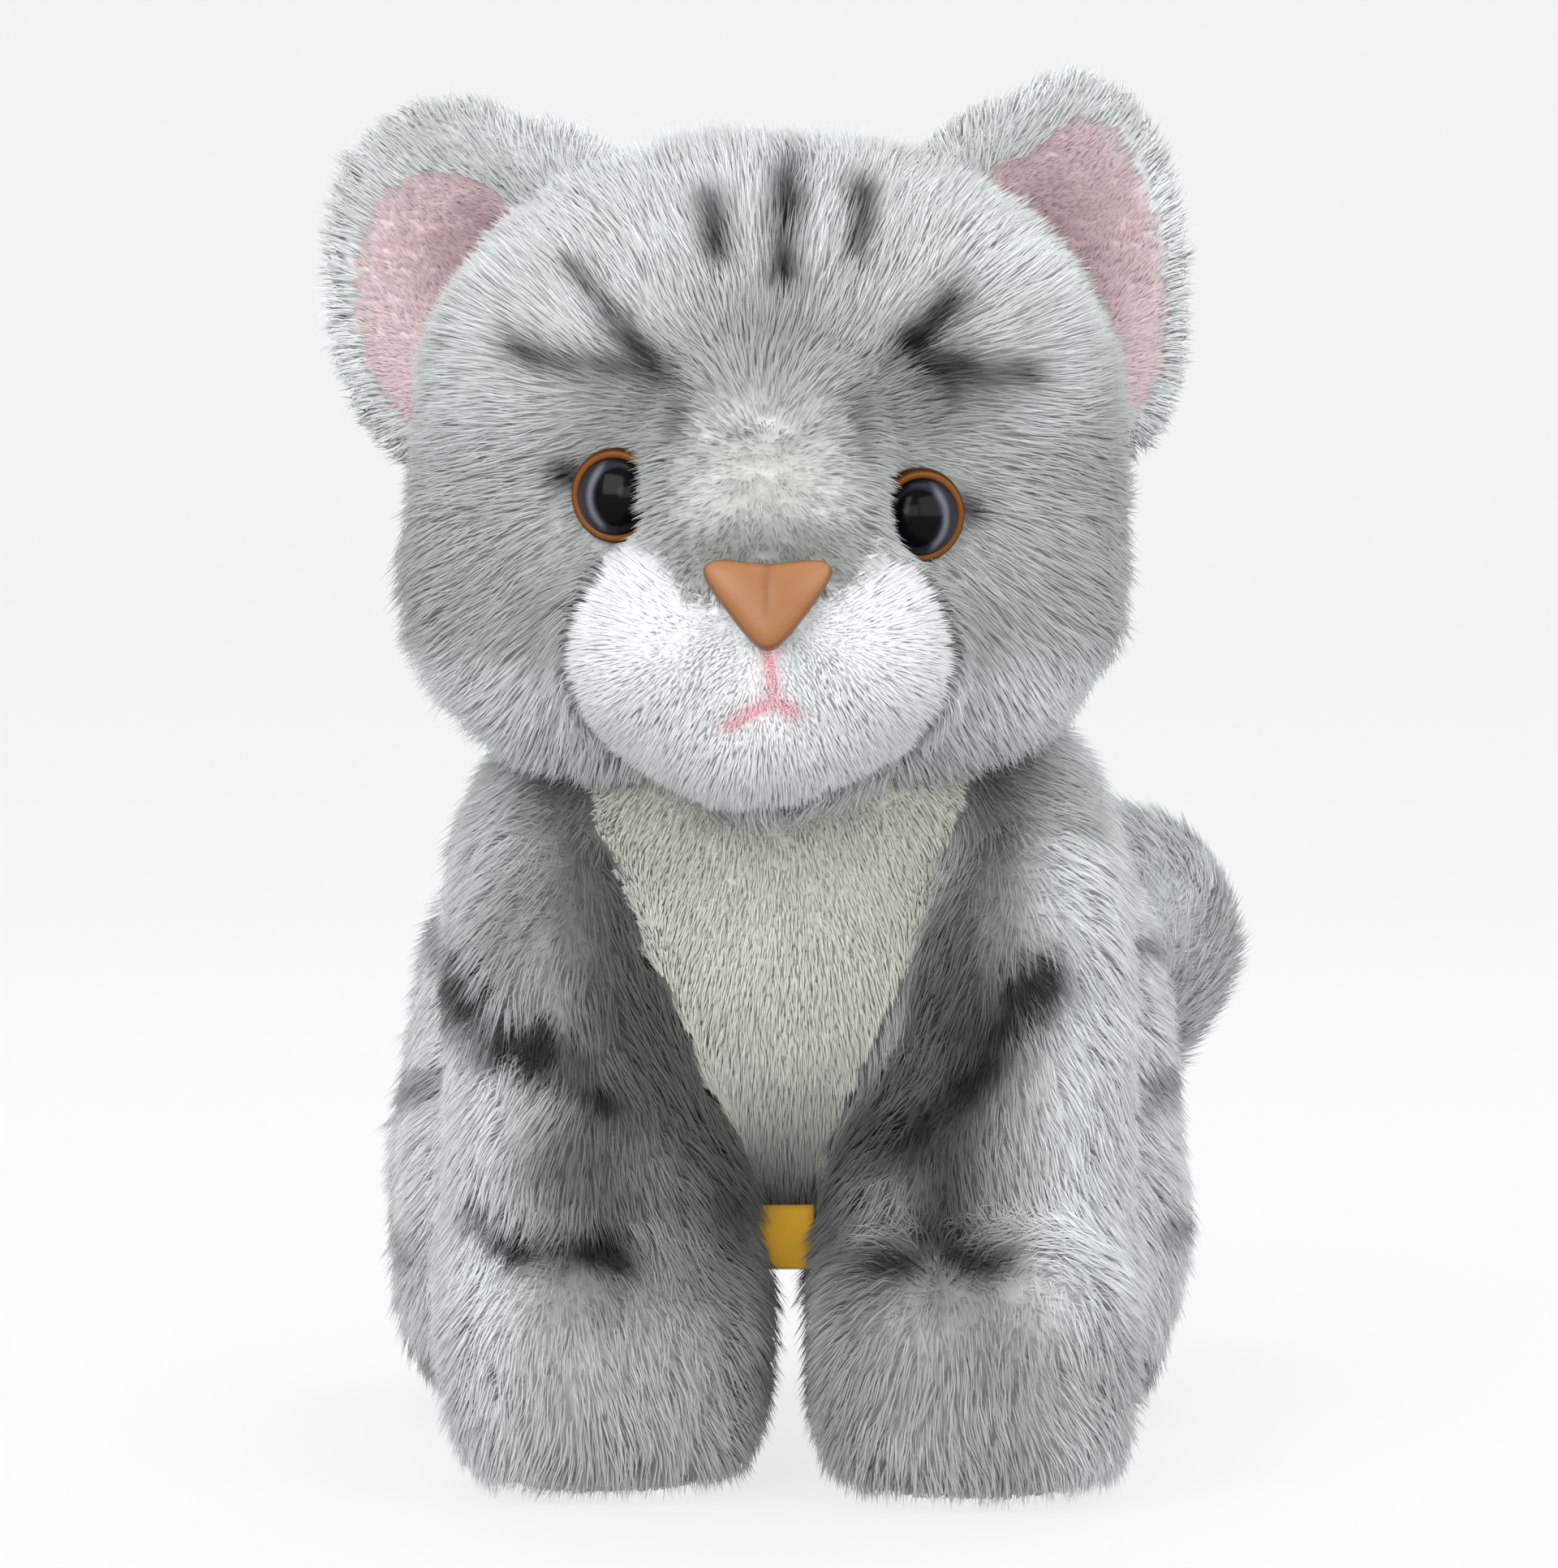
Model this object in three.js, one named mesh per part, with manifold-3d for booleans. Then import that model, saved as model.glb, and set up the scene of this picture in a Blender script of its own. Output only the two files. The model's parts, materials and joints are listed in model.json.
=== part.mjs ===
// A plush kitten standing on four short legs, with its tail curled up beside it. Millimetres, +Z up.
// The kitten faces -Y, so its left side is at +X. The origin is on the floor, under the middle of the toy.
//
// The toy is sewn from pile fabric over loose fibre. Each skin panel here is a shell as thick as the fabric
// with its pile pressed down. The fibre inside is a solid of its own, and a seam is a gap between two panels.
import * as THREE from "three";
import { ConvexGeometry } from "three/addons/geometries/ConvexGeometry.js";
import { mergeVertices } from "three/addons/utils/BufferGeometryUtils.js";
import Module from "manifold-3d";

const wasm = await Module();
wasm.setup();

// ---------------------------------------------------------------- driving dimensions
const SKIN = 3; // woven backing and pressed pile
const SEAM = 0.3; // gap between two panels
const LOOSE = 0.8; // gap between a skin and its filling
const PLAY = 0.9; // gap between pieces that move past each other
const FAR = 300; // longer than the toy, for cutting planes

const HEAD = { at: [-3, -36, 143], radii: [49, 41, 46] };
// The raised strip between the eyes and the muzzle, both placed from the head's centre.
const BRIDGE = { at: [0, -34, -4], radii: [14, 17, 22] };
const MUZZLE = { at: [0, -36, -26], radii: [24.5, 19, 19] };
const HEAD_BOWL_GROW = [5, 10, 3.5]; // how much wider than the head the hollow is that it turns in
const GUSSET_HALF = 16; // half width of the strip sewn over the forehead

const EYE = { x: 19.8, z: -4.3, radius: 6.5, dome: 4.2, shank: 1.7, shankLength: 9 };
const EYE_SKEW = 1.3; // the left eye is set that much lower, and the right one higher
const NOSE = { width: 17, height: 12.5, z: -18.8, depth: 2.6, tilt: 16, shank: 1.7, shankLength: 11 };
const EYE_LIFT = 1.6; // how far each fitting's rim stands off the skin
const NOSE_LIFT = 3;
const WASHER = { outer: 6, bore: 2, thick: 1.6, chamfer: 1.2 };
const EYE_WASHER_DEPTH = SKIN + 3.4; // each washer's place along its fitting's shank, below the skin
const NOSE_WASHER_DEPTH = SKIN + 4.6;
const FITTING_BORE = { front: 6, back: 13 }; // how far a fitting's bore goes out of and into the head
const THREAD = 0.7; // radius of the mouth's embroidery

const EAR = { at: [35.5, 3, 25.5], width: 46, height: 32, back: 5, lining: 1.6, yaw: 16, range: 12 };
const EAR_LEAN = { left: 34, right: 53 }; // degrees outwards from upright

const TORSO = { at: [0, 12, 65], radii: [41, 66, 37] };
const SHOULDERS = { at: [0, -18, 76], radii: [37, 35, 29] };
const NECK = { at: [-1, -27, 98], radius: 13 };
const BIB = { top: 112, halfTop: 33, mid: 68, halfMid: 15, halfTip: 6, tip: 43, curve: 12, back: -22 };
const BELLY = { half: 19, top: 42 };
const LEG_MOUTH = { inwards: 20, outwards: 8, radius: 8 }; // the opening that a leg is filled through
const POUCH_TOP = 46; // the pellet pouch fills the torso up to here

// Each leg is a column of rings from the shoulder or hip down to the sole: [x, y, z, half width, half depth].
const FRONT_LEG = {
  pivot: [27, -35, 66],
  swing: 10,
  rings: [
    [32.5, -34, 91, 9, 12],
    [33, -34, 78, 11.5, 17],
    [31.5, -35, 62, 13.5, 19.5],
    [28.5, -36, 44, 17, 20],
    [26, -37, 28, 19, 21],
    [25.5, -39, 14, 19.5, 23.5],
    [25.5, -40, 4, 19.5, 23.5],
    [25.5, -40, -10, 17, 20],
  ],
};
const HIND_LEG = {
  pivot: [28, 46, 48],
  swing: 10,
  rings: [
    [36, 44, 84, 9, 12],
    [36.5, 45, 68, 13, 19],
    [38, 46, 52, 16.5, 25],
    [39.5, 45, 34, 19, 28],
    [39, 41, 18, 19.5, 30],
    [36.5, 37, 6, 18, 29.5],
    [36, 36, -8, 15, 26],
  ],
};
const TAIL = {
  root: [8, 79, 56],
  path: [
    [8, 79, 56],
    [22, 90, 49],
    [41, 96, 51],
    [53, 93, 62],
    [55, 89, 73],
    [50, 86, 80.5],
  ],
  radii: [8.5, 11, 13, 14, 13.5, 11.5],
  mouth: 4.5, // radius of the opening at the root, where the filling goes in
};
const LABEL = { top: [-1.5, -40.8, 40.5], width: 10, height: 10, thick: 0.8 };

const COLOURS = {
  greyPile: [0xa9aca8, 0.95],
  whitePile: [0xeef0ee, 0.95],
  creamPile: [0xdfe1da, 0.95],
  pinkPile: [0xe3c3c3, 0.95],
  fibre: [0xf4f4f0, 1],
  pouchCloth: [0xd9d2c0, 0.9],
  eyePlastic: [0x17130f, 0.08],
  nosePlastic: [0xb9794a, 0.35],
  washerPlastic: [0xe8e8e8, 0.5],
  pinkThread: [0xd98fa3, 0.8],
  labelCloth: [0xe0b21c, 0.8],
};

// ---------------------------------------------------------------- solids and meshes
function toSolid(geometry) {
  const bare = geometry.index ? geometry.toNonIndexed() : geometry.clone();
  bare.deleteAttribute("normal");
  bare.deleteAttribute("uv");
  const merged = mergeVertices(bare, 1e-4);
  const mesh = new wasm.Mesh({
    numProp: 3,
    vertProperties: new Float32Array(merged.attributes.position.array),
    triVerts: new Uint32Array(merged.index.array),
  });
  return new wasm.Manifold(mesh);
}

function toGeometry(solid) {
  const mesh = solid.getMesh();
  const geometry = new THREE.BufferGeometry();
  geometry.setAttribute("position", new THREE.BufferAttribute(mesh.vertProperties, 3));
  geometry.setIndex(new THREE.BufferAttribute(mesh.triVerts, 1));
  geometry.computeVertexNormals();
  return geometry;
}

function piece(name, shape, colour) {
  const geometry = shape.isBufferGeometry ? shape : toGeometry(shape);
  const [color, roughness] = COLOURS[colour];
  const material = new THREE.MeshStandardMaterial({ color, roughness, metalness: 0 });
  const mesh = new THREE.Mesh(geometry, material);
  mesh.name = name;
  return mesh;
}

function union(...solids) {
  return solids.reduce((all, next) => all.add(next));
}

// ---------------------------------------------------------------- soft forms
// grow makes a form that much larger all round, so one form gives a skin's two faces and the fibre inside.
function ellipsoid({ at, radii }, grow = 0, around = 24) {
  const sphere = new THREE.SphereGeometry(1, around, Math.round(around * 0.62));
  sphere.rotateX(Math.PI / 2);
  sphere.scale(...radii.map((r) => r + grow));
  sphere.translate(...at);
  return toSolid(sphere);
}

function box(low, high) {
  const size = high.map((h, i) => h - low[i]);
  const made = new THREE.BoxGeometry(...size);
  made.translate(...low.map((l, i) => l + size[i] / 2));
  return toSolid(made);
}

function rod(from, to, radius, sides = 16) {
  const start = new THREE.Vector3(...from);
  const along = new THREE.Vector3(...to).sub(start);
  const length = along.length();
  const turn = new THREE.Quaternion().setFromUnitVectors(new THREE.Vector3(0, 1, 0), along.normalize());
  const made = new THREE.CylinderGeometry(radius, radius, length, sides);
  made.translate(0, length / 2, 0);
  made.applyQuaternion(turn);
  made.translate(...from);
  return toSolid(made);
}

// The width left at a height of -1 to 1 in a form with rounded ends and nearly straight sides.
function roundedEnd(height) {
  const squareness = 4;
  return Math.pow(1 - Math.pow(Math.abs(height), squareness), 1 / squareness);
}

// A column of level rings with rounded ends. side is 1 on the kitten's left and -1 on its right.
function column(rings, side, grow = 0, around = 16, along = 12) {
  const ringCentres = rings.map(([x, y, z]) => new THREE.Vector3(x, y, z));
  const ringSizes = rings.map(([, , , w, d]) => new THREE.Vector3(w, d, 0));
  const centres = new THREE.CatmullRomCurve3(ringCentres);
  const sizes = new THREE.CatmullRomCurve3(ringSizes);
  const made = new THREE.SphereGeometry(1, around, along);
  made.rotateX(Math.PI / 2);
  const at = made.attributes.position;
  for (let i = 0; i < at.count; i++) {
    const height = THREE.MathUtils.clamp(at.getZ(i), -1, 1);
    const share = (1 - height) / 2;
    const round = roundedEnd(height);
    const turn = Math.atan2(at.getY(i), at.getX(i));
    const centre = centres.getPoint(share);
    const size = sizes.getPoint(share);
    at.setXYZ(
      i,
      side * (centre.x + (size.x + grow) * round * Math.cos(turn)),
      centre.y + (size.y + grow) * round * Math.sin(turn),
      centre.z + grow * height,
    );
  }
  if (side < 0) turnInsideOut(made);
  return made;
}

function turnInsideOut(geometry) {
  const index = geometry.index.array;
  for (let i = 0; i < index.length; i += 3) {
    [index[i + 1], index[i + 2]] = [index[i + 2], index[i + 1]];
  }
}

// A round tube along a curve, its radius eased from one value of radii to the next, with rounded ends.
function taperedTube(path, radii, grow = 0, around = 16, along = 18) {
  const curve = new THREE.CatmullRomCurve3(path.map((p) => new THREE.Vector3(...p)));
  const sizes = new THREE.CatmullRomCurve3(radii.map((r) => new THREE.Vector3(r, 0, 0)));
  const frames = curve.computeFrenetFrames(along, false);
  const made = new THREE.SphereGeometry(1, around, along);
  made.rotateX(Math.PI / 2);
  const at = made.attributes.position;
  for (let i = 0; i < at.count; i++) {
    const height = THREE.MathUtils.clamp(at.getZ(i), -1, 1);
    const share = (1 - height) / 2;
    const step = Math.round((Math.acos(height) / Math.PI) * along);
    const round = roundedEnd(height);
    const turn = Math.atan2(at.getY(i), at.getX(i));
    const reach = (sizes.getPoint(share).x + grow) * round;
    const spot = curve.getPoint(share);
    spot.addScaledVector(frames.tangents[step], -grow * height);
    spot.addScaledVector(frames.normals[step], reach * Math.cos(turn));
    spot.addScaledVector(frames.binormals[step], -reach * Math.sin(turn));
    at.setXYZ(i, spot.x, spot.y, spot.z);
  }
  return toSolid(made);
}

// ---------------------------------------------------------------- legs
function legSolid(leg, side, grow = 0, around = 16, along = 12) {
  const floor = box([-FAR, -FAR, -FAR], [FAR, FAR, -grow]);
  return toSolid(column(leg.rings, side, grow, around, along)).subtract(floor);
}

// The room that a leg sweeps as it swings, as one convex form.
function legBay(leg, side, grow) {
  const points = column(leg.rings, side, grow, 16, 10).attributes.position;
  const [, y, z] = leg.pivot;
  const swept = [];
  for (const degrees of [-leg.swing, 0, leg.swing]) {
    const turn = THREE.MathUtils.degToRad(degrees);
    for (let i = 0; i < points.count; i++) {
      const spot = new THREE.Vector3().fromBufferAttribute(points, i);
      spot.sub(new THREE.Vector3(0, y, z)).applyAxisAngle(new THREE.Vector3(1, 0, 0), turn);
      swept.push(spot.add(new THREE.Vector3(0, y, z)));
    }
  }
  return toSolid(new ConvexGeometry(swept));
}

function makeLeg(name, leg, side) {
  const [x, y, z] = leg.pivot;
  const { inwards, outwards, radius } = LEG_MOUTH;
  const mouth = rod([side * (x - inwards), y, z], [side * (x + outwards), y, z], radius);
  const skin = legSolid(leg, side).subtract(legSolid(leg, side, -SKIN)).subtract(mouth);
  const filling = legSolid(leg, side, -SKIN - LOOSE, 12, 10);
  const group = new THREE.Group();
  group.add(piece(`${name}_skin`, skin, "greyPile"));
  group.add(piece(`${name}_stuffing`, filling, "fibre"));
  return group;
}

// ---------------------------------------------------------------- torso
const BAYS = [
  [FRONT_LEG, 1],
  [FRONT_LEG, -1],
  [HIND_LEG, 1],
  [HIND_LEG, -1],
];

// The hollow above the torso where the head turns and nods.
const HEAD_BOWL = {
  at: [HEAD.at[0] + 1, HEAD.at[1], HEAD.at[2]],
  radii: HEAD.radii.map((radius, i) => radius + HEAD_BOWL_GROW[i]),
};

function torsoSolid(grow, around = 24) {
  const whole = union(ellipsoid(TORSO, grow, around), ellipsoid(SHOULDERS, grow, around));
  let made = whole.subtract(ellipsoid(HEAD_BOWL, -grow, 22));
  for (const [leg, side] of BAYS) made = made.subtract(legBay(leg, side, PLAY - grow));
  const [rootRadius, nextRadius] = TAIL.radii;
  const across = rootRadius + PLAY + 2 * SEAM;
  const tailRoom = { at: TAIL.root, radii: [across, nextRadius, across] };
  return made.subtract(ellipsoid(tailRoom, -grow, 16));
}

function neckRoom() {
  return ellipsoid({ at: NECK.at, radii: [NECK.radius, NECK.radius, NECK.radius] }, PLAY, 18);
}

// The chest panel's V as it is seen from the front, as a wedge that goes back to BIB.back.
function bibWedge(grow) {
  const { top, halfTop, mid, halfMid, halfTip, tip, curve, back } = BIB;
  const outline = new THREE.Shape();
  outline.moveTo(-halfTop - grow, top + grow);
  outline.quadraticCurveTo(-halfTop - grow, mid + curve, -halfMid - grow, mid);
  outline.lineTo(-halfTip - grow, tip - grow);
  outline.lineTo(halfTip + grow, tip - grow);
  outline.lineTo(halfMid + grow, mid);
  outline.quadraticCurveTo(halfTop + grow, mid + curve, halfTop + grow, top + grow);
  const wedge = new THREE.ExtrudeGeometry(outline, { depth: FAR, bevelEnabled: false, curveSegments: 5 });
  wedge.rotateX(Math.PI / 2); // the outline's height goes up, and its depth goes forward
  wedge.translate(0, back + grow, 0);
  return toSolid(wedge);
}

// Everything to the left of the middle plane, or to its right, less half a seam.
function halfSpace(side) {
  const low = [side > 0 ? SEAM / 2 : -FAR, -FAR, -FAR];
  const high = [side > 0 ? FAR : -SEAM / 2, FAR, FAR];
  return box(low, high);
}

function makeTorso() {
  const outer = torsoSolid(0);
  const shell = outer.subtract(torsoSolid(-SKIN)).subtract(neckRoom());
  const bellyBox = box([-BELLY.half, -FAR, -FAR], [BELLY.half, FAR, BELLY.top]);
  const wide = BELLY.half + SEAM;
  const wideBelly = box([-wide, -FAR, -FAR], [wide, FAR, BELLY.top + SEAM]);
  const sides = shell.subtract(bibWedge(SEAM)).subtract(wideBelly);
  const filling = torsoSolid(-SKIN - LOOSE, 18);
  const high = box([-FAR, -FAR, POUCH_TOP + SEAM], [FAR, FAR, FAR]);
  const low = box([-FAR, -FAR, -FAR], [FAR, FAR, POUCH_TOP]);
  const group = new THREE.Group();
  group.add(piece("chest_panel", shell.intersect(bibWedge(0)), "creamPile"));
  group.add(piece("belly_panel", shell.intersect(bellyBox).subtract(bibWedge(SEAM)), "creamPile"));
  group.add(piece("body_side_left", sides.intersect(halfSpace(1)), "greyPile"));
  group.add(piece("body_side_right", sides.intersect(halfSpace(-1)), "greyPile"));
  group.add(piece("body_stuffing", filling.intersect(high).subtract(neckRoom()), "fibre"));
  group.add(piece("pellet_pouch", filling.intersect(low), "pouchCloth"));
  return group;
}

function makeNeck() {
  const { at, radius } = NECK;
  return piece("neck_stuffing", ellipsoid({ at, radii: [radius, radius, radius] }, 0, 16), "fibre");
}

// ---------------------------------------------------------------- head
// The head's pieces are made about the head's own centre.
const HEAD_FORM = { at: [0, 0, 0], radii: HEAD.radii };

function surfaceDepth({ at, radii }, x, z) {
  const share = 1 - ((x - at[0]) / radii[0]) ** 2 - ((z - at[2]) / radii[2]) ** 2;
  return at[1] - radii[1] * Math.sqrt(share);
}

function headSolid(grow, around = 26) {
  const face = union(ellipsoid(BRIDGE, grow, 16), ellipsoid(MUZZLE, grow, 20));
  return ellipsoid(HEAD_FORM, grow, around).add(face);
}

function eyePlace(side) {
  const z = EYE.z - side * EYE_SKEW;
  const spot = new THREE.Vector3(side * EYE.x, surfaceDepth(HEAD_FORM, EYE.x, z), z);
  const steepness = new THREE.Vector3(...HEAD.radii.map((r) => r * r));
  const out = spot.clone().divide(steepness).normalize();
  return { spot, out };
}

function nosePlace() {
  const spot = new THREE.Vector3(0, surfaceDepth(MUZZLE, 0, NOSE.z), NOSE.z);
  const tilt = THREE.MathUtils.degToRad(NOSE.tilt);
  return { spot, out: new THREE.Vector3(0, -Math.cos(tilt), Math.sin(tilt)) };
}

// A bore along a fitting's axis, for its shank through the skin or its washer in the filling.
function fittingBore({ spot, out }, radius) {
  const front = spot.clone().addScaledVector(out, FITTING_BORE.front).toArray();
  const back = spot.clone().addScaledVector(out, -FITTING_BORE.back).toArray();
  return rod(front, back, radius + SEAM);
}

function standOn(mesh, { spot, out }, lift) {
  mesh.position.copy(spot).addScaledVector(out, lift);
  mesh.quaternion.setFromUnitVectors(new THREE.Vector3(0, 1, 0), out);
  return mesh;
}

function lathe(profile, sides = 20) {
  return new THREE.LatheGeometry(profile.map(([r, y]) => new THREE.Vector2(r, y)), sides);
}

function eyeGeometry() {
  const { radius, dome, shank, shankLength } = EYE;
  const rim = 0.9; // thickness of the rim behind the dome
  const profile = [
    [0, -shankLength],
    [shank, -shankLength],
    [shank, -rim],
    [radius - SEAM, -rim],
    [radius, 0],
  ];
  for (const share of [0.3, 0.55, 0.8]) {
    const turn = (share * Math.PI) / 2;
    profile.push([radius * Math.cos(turn), dome * Math.sin(turn)]);
  }
  profile.push([0, dome]);
  return lathe(profile, 20);
}

function washerGeometry() {
  const { outer, bore, thick, chamfer } = WASHER;
  const profile = [
    [bore, 0],
    [outer, 0],
    [outer, thick * 0.6],
    [bore + chamfer, thick],
    [bore, thick],
    [bore, 0],
  ];
  return lathe(profile, 18);
}

// A plump triangle: the form stretched round three rounded corners. Its face looks along +Y.
function noseSolid() {
  const { width, height, depth, shank, shankLength } = NOSE;
  const corners = [
    [width / 2, height / 2, 2.6],
    [-width / 2, height / 2, 2.6],
    [0, -height / 2, 2],
  ];
  const points = [];
  for (const [x, z, radius] of corners) {
    const ball = new THREE.SphereGeometry(radius, 14, 9);
    ball.scale(1, depth / radius, 1);
    ball.translate(x - Math.sign(x) * radius, 0, -z + Math.sign(z) * radius);
    const at = ball.attributes.position;
    for (let i = 0; i < at.count; i++) points.push(new THREE.Vector3().fromBufferAttribute(at, i));
  }
  const shankRod = rod([0, 0, 0], [0, -shankLength, 0], shank, 12);
  return toSolid(new ConvexGeometry(points)).add(shankRod);
}

// The mouth's embroidery: one stitch line down from the nose, and one out to each side.
function mouthSolid() {
  const onMuzzle = (x, z) => new THREE.Vector3(x, surfaceDepth(MUZZLE, x, z) - THREAD - SEAM, z);
  const lines = [
    [onMuzzle(0, -26.5), onMuzzle(0, -29), onMuzzle(0, -31)],
    [onMuzzle(0, -30.6), onMuzzle(-2.5, -32), onMuzzle(-5, -34)],
    [onMuzzle(0, -30.6), onMuzzle(2.5, -32), onMuzzle(5, -34)],
  ];
  const section = new THREE.Shape().absarc(0, 0, THREAD, 0, 2 * Math.PI);
  const tubes = lines.map((points) => {
    const extrudePath = new THREE.CatmullRomCurve3(points);
    return toSolid(new THREE.ExtrudeGeometry(section, { steps: 6, curveSegments: 4, extrudePath }));
  });
  return union(...tubes);
}

function makeHead() {
  const eyes = [1, -1].map(eyePlace);
  const nose = nosePlace();
  const local = NECK.at.map((n, i) => n - HEAD.at[i]);
  const neck = ellipsoid({ at: local, radii: [NECK.radius, NECK.radius, NECK.radius] }, PLAY, 18);
  const bores = union(...[...eyes, nose].map((place) => fittingBore(place, EYE.shank)));
  const pockets = union(...[...eyes, nose].map((place) => fittingBore(place, WASHER.outer)));
  const shell = headSolid(0).subtract(headSolid(-SKIN)).subtract(neck).subtract(bores);

  const cover = 2 * SEAM; // so that the zone takes in the whole thickness of the skin
  const muzzleZone = ellipsoid(MUZZLE, cover, 20).subtract(ellipsoid(BRIDGE, cover, 16));
  const wideZone = ellipsoid(MUZZLE, cover + SEAM, 20);
  const muzzleMargin = wideZone.subtract(ellipsoid(BRIDGE, cover - SEAM, 16));
  const strip = (half) => box([-half, -FAR, MUZZLE.at[2] + 4], [half, FAR, FAR]);
  const restOfHead = shell.subtract(muzzleMargin);
  const sides = restOfHead.subtract(strip(GUSSET_HALF + SEAM));

  const group = new THREE.Group();
  group.add(piece("head_gusset", restOfHead.intersect(strip(GUSSET_HALF)), "greyPile"));
  group.add(piece("head_side_left", sides.intersect(halfSpace(1)), "greyPile"));
  group.add(piece("head_side_right", sides.intersect(halfSpace(-1)), "greyPile"));
  group.add(piece("muzzle_panel", shell.intersect(muzzleZone), "whitePile"));
  const filling = headSolid(-SKIN - LOOSE, 20).subtract(neck).subtract(pockets);
  group.add(piece("head_stuffing", filling, "fibre"));
  eyes.forEach((place, i) => {
    const side = ["left", "right"][i];
    const washer = piece(`eye_washer_${side}`, washerGeometry(), "washerPlastic");
    group.add(standOn(piece(`eye_${side}`, eyeGeometry(), "eyePlastic"), place, EYE_LIFT));
    group.add(standOn(washer, place, -EYE_WASHER_DEPTH));
  });
  const noseWasher = piece("nose_washer", washerGeometry(), "washerPlastic");
  group.add(standOn(piece("nose", noseSolid(), "nosePlastic"), nose, NOSE_LIFT));
  group.add(standOn(noseWasher, nose, -NOSE_WASHER_DEPTH));
  group.add(piece("mouth_thread", mouthSolid(), "pinkThread"));
  for (const side of [1, -1]) group.add(makeEar(side));
  group.position.set(...HEAD.at);
  return group;
}

// ---------------------------------------------------------------- ears
// An ear stands on its base line, which is its hinge: x along the base, z up, and it opens towards -Y.
function earOutline(width, height) {
  const outline = new THREE.Shape();
  outline.moveTo(-width / 2, 0);
  outline.quadraticCurveTo(-width * 0.4, height * 0.75, -width * 0.02, height * 0.97);
  outline.quadraticCurveTo(width * 0.1, height * 1.03, width * 0.2, height * 0.92);
  outline.quadraticCurveTo(width * 0.5, height * 0.5, width / 2, 0);
  outline.closePath();
  return outline;
}

function earPanel(width, height, thick, bevel) {
  const made = new THREE.ExtrudeGeometry(earOutline(width, height), {
    depth: thick - 2 * bevel,
    curveSegments: 6,
    bevelThickness: bevel,
    bevelSize: bevel,
    bevelOffset: -bevel,
    bevelSegments: 2,
  });
  made.translate(0, 0, bevel);
  made.rotateX(Math.PI / 2); // the outline's height goes up, and its thickness goes forward
  return made;
}

// The ear's pieces are cut clear of the head at every angle that the ear bends to.
function makeEar(side) {
  const name = side > 0 ? "left" : "right";
  const lean = THREE.MathUtils.degToRad(side * EAR_LEAN[name]);
  const yaw = THREE.MathUtils.degToRad(side * EAR.yaw);
  const place = new THREE.Matrix4().makeRotationFromEuler(new THREE.Euler(0, lean, yaw, "ZYX"));
  place.setPosition(side * EAR.at[0], EAR.at[1], EAR.at[2]);
  const headSweep = [-1, -0.5, 0, 0.5, 1].map((share) => {
    const bend = new THREE.Matrix4().makeRotationX(THREE.MathUtils.degToRad(share * EAR.range));
    const about = place.clone().multiply(bend).multiply(place.clone().invert());
    return ellipsoid(HEAD_FORM, PLAY, 28).transform(about.elements);
  });
  const room = union(...headSweep);
  const back = earPanel(EAR.width, EAR.height, EAR.back, 1.8);
  back.translate(0, EAR.back, 0);
  const lining = earPanel(EAR.width - 9, EAR.height - 7, EAR.lining, 0.5);
  lining.translate(0, -SEAM, 1.5);
  const group = new THREE.Group();
  group.add(piece(`ear_back_${name}`, toSolid(back.applyMatrix4(place)).subtract(room), "greyPile"));
  group.add(piece(`ear_lining_${name}`, toSolid(lining.applyMatrix4(place)).subtract(room), "pinkPile"));
  return group;
}

// ---------------------------------------------------------------- tail and label
function makeTail() {
  const { path, radii, mouth: mouthRadius } = TAIL;
  const outer = taperedTube(path, radii);
  const root = new THREE.Vector3(...path[0]);
  const inwards = root.clone().sub(new THREE.Vector3(...path[1])).normalize();
  const inner = root.clone().addScaledVector(inwards, -2 * SKIN).toArray();
  const outside = root.clone().addScaledVector(inwards, 2 * SKIN).toArray();
  const mouth = rod(inner, outside, mouthRadius);
  const group = new THREE.Group();
  const skin = outer.subtract(taperedTube(path, radii, -SKIN)).subtract(mouth);
  group.add(piece("tail_skin", skin, "greyPile"));
  group.add(piece("tail_stuffing", taperedTube(path, radii, -SKIN - LOOSE), "fibre"));
  return group;
}

function makeLabel() {
  const { top, width, height, thick } = LABEL;
  const made = piece("care_label", new THREE.BoxGeometry(width, thick, height), "labelCloth");
  made.position.set(top[0], top[1], top[2] - height / 2);
  return made;
}

// ---------------------------------------------------------------- the whole toy
const kitten = new THREE.Group();
kitten.add(makeTorso(), makeNeck(), makeHead(), makeTail(), makeLabel());
kitten.add(makeLeg("front_leg_left", FRONT_LEG, 1), makeLeg("front_leg_right", FRONT_LEG, -1));
kitten.add(makeLeg("hind_leg_left", HIND_LEG, 1), makeLeg("hind_leg_right", HIND_LEG, -1));

// Centre it over the origin, by what the box round it measures.
const middle = new THREE.Box3().setFromObject(kitten, true).getCenter(new THREE.Vector3());
kitten.position.set(-middle.x, -middle.y, 0);

export default kitten;
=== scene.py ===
"""The looks of the plush kitten: skins, pile, eyes, nose, mouth, ears and tag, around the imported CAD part.

Lengths are millimetres in the row frame, and MM turns them into metres where a mesh is made. The forms are
soft solids measured from the boxes of the CAD nodes. The pile is a mesh of small closed locks. Their roots
are scattered over the forms' blended surface. Each lock is combed, clumped, cut and coloured by its place.
"""

import json
import math

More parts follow.
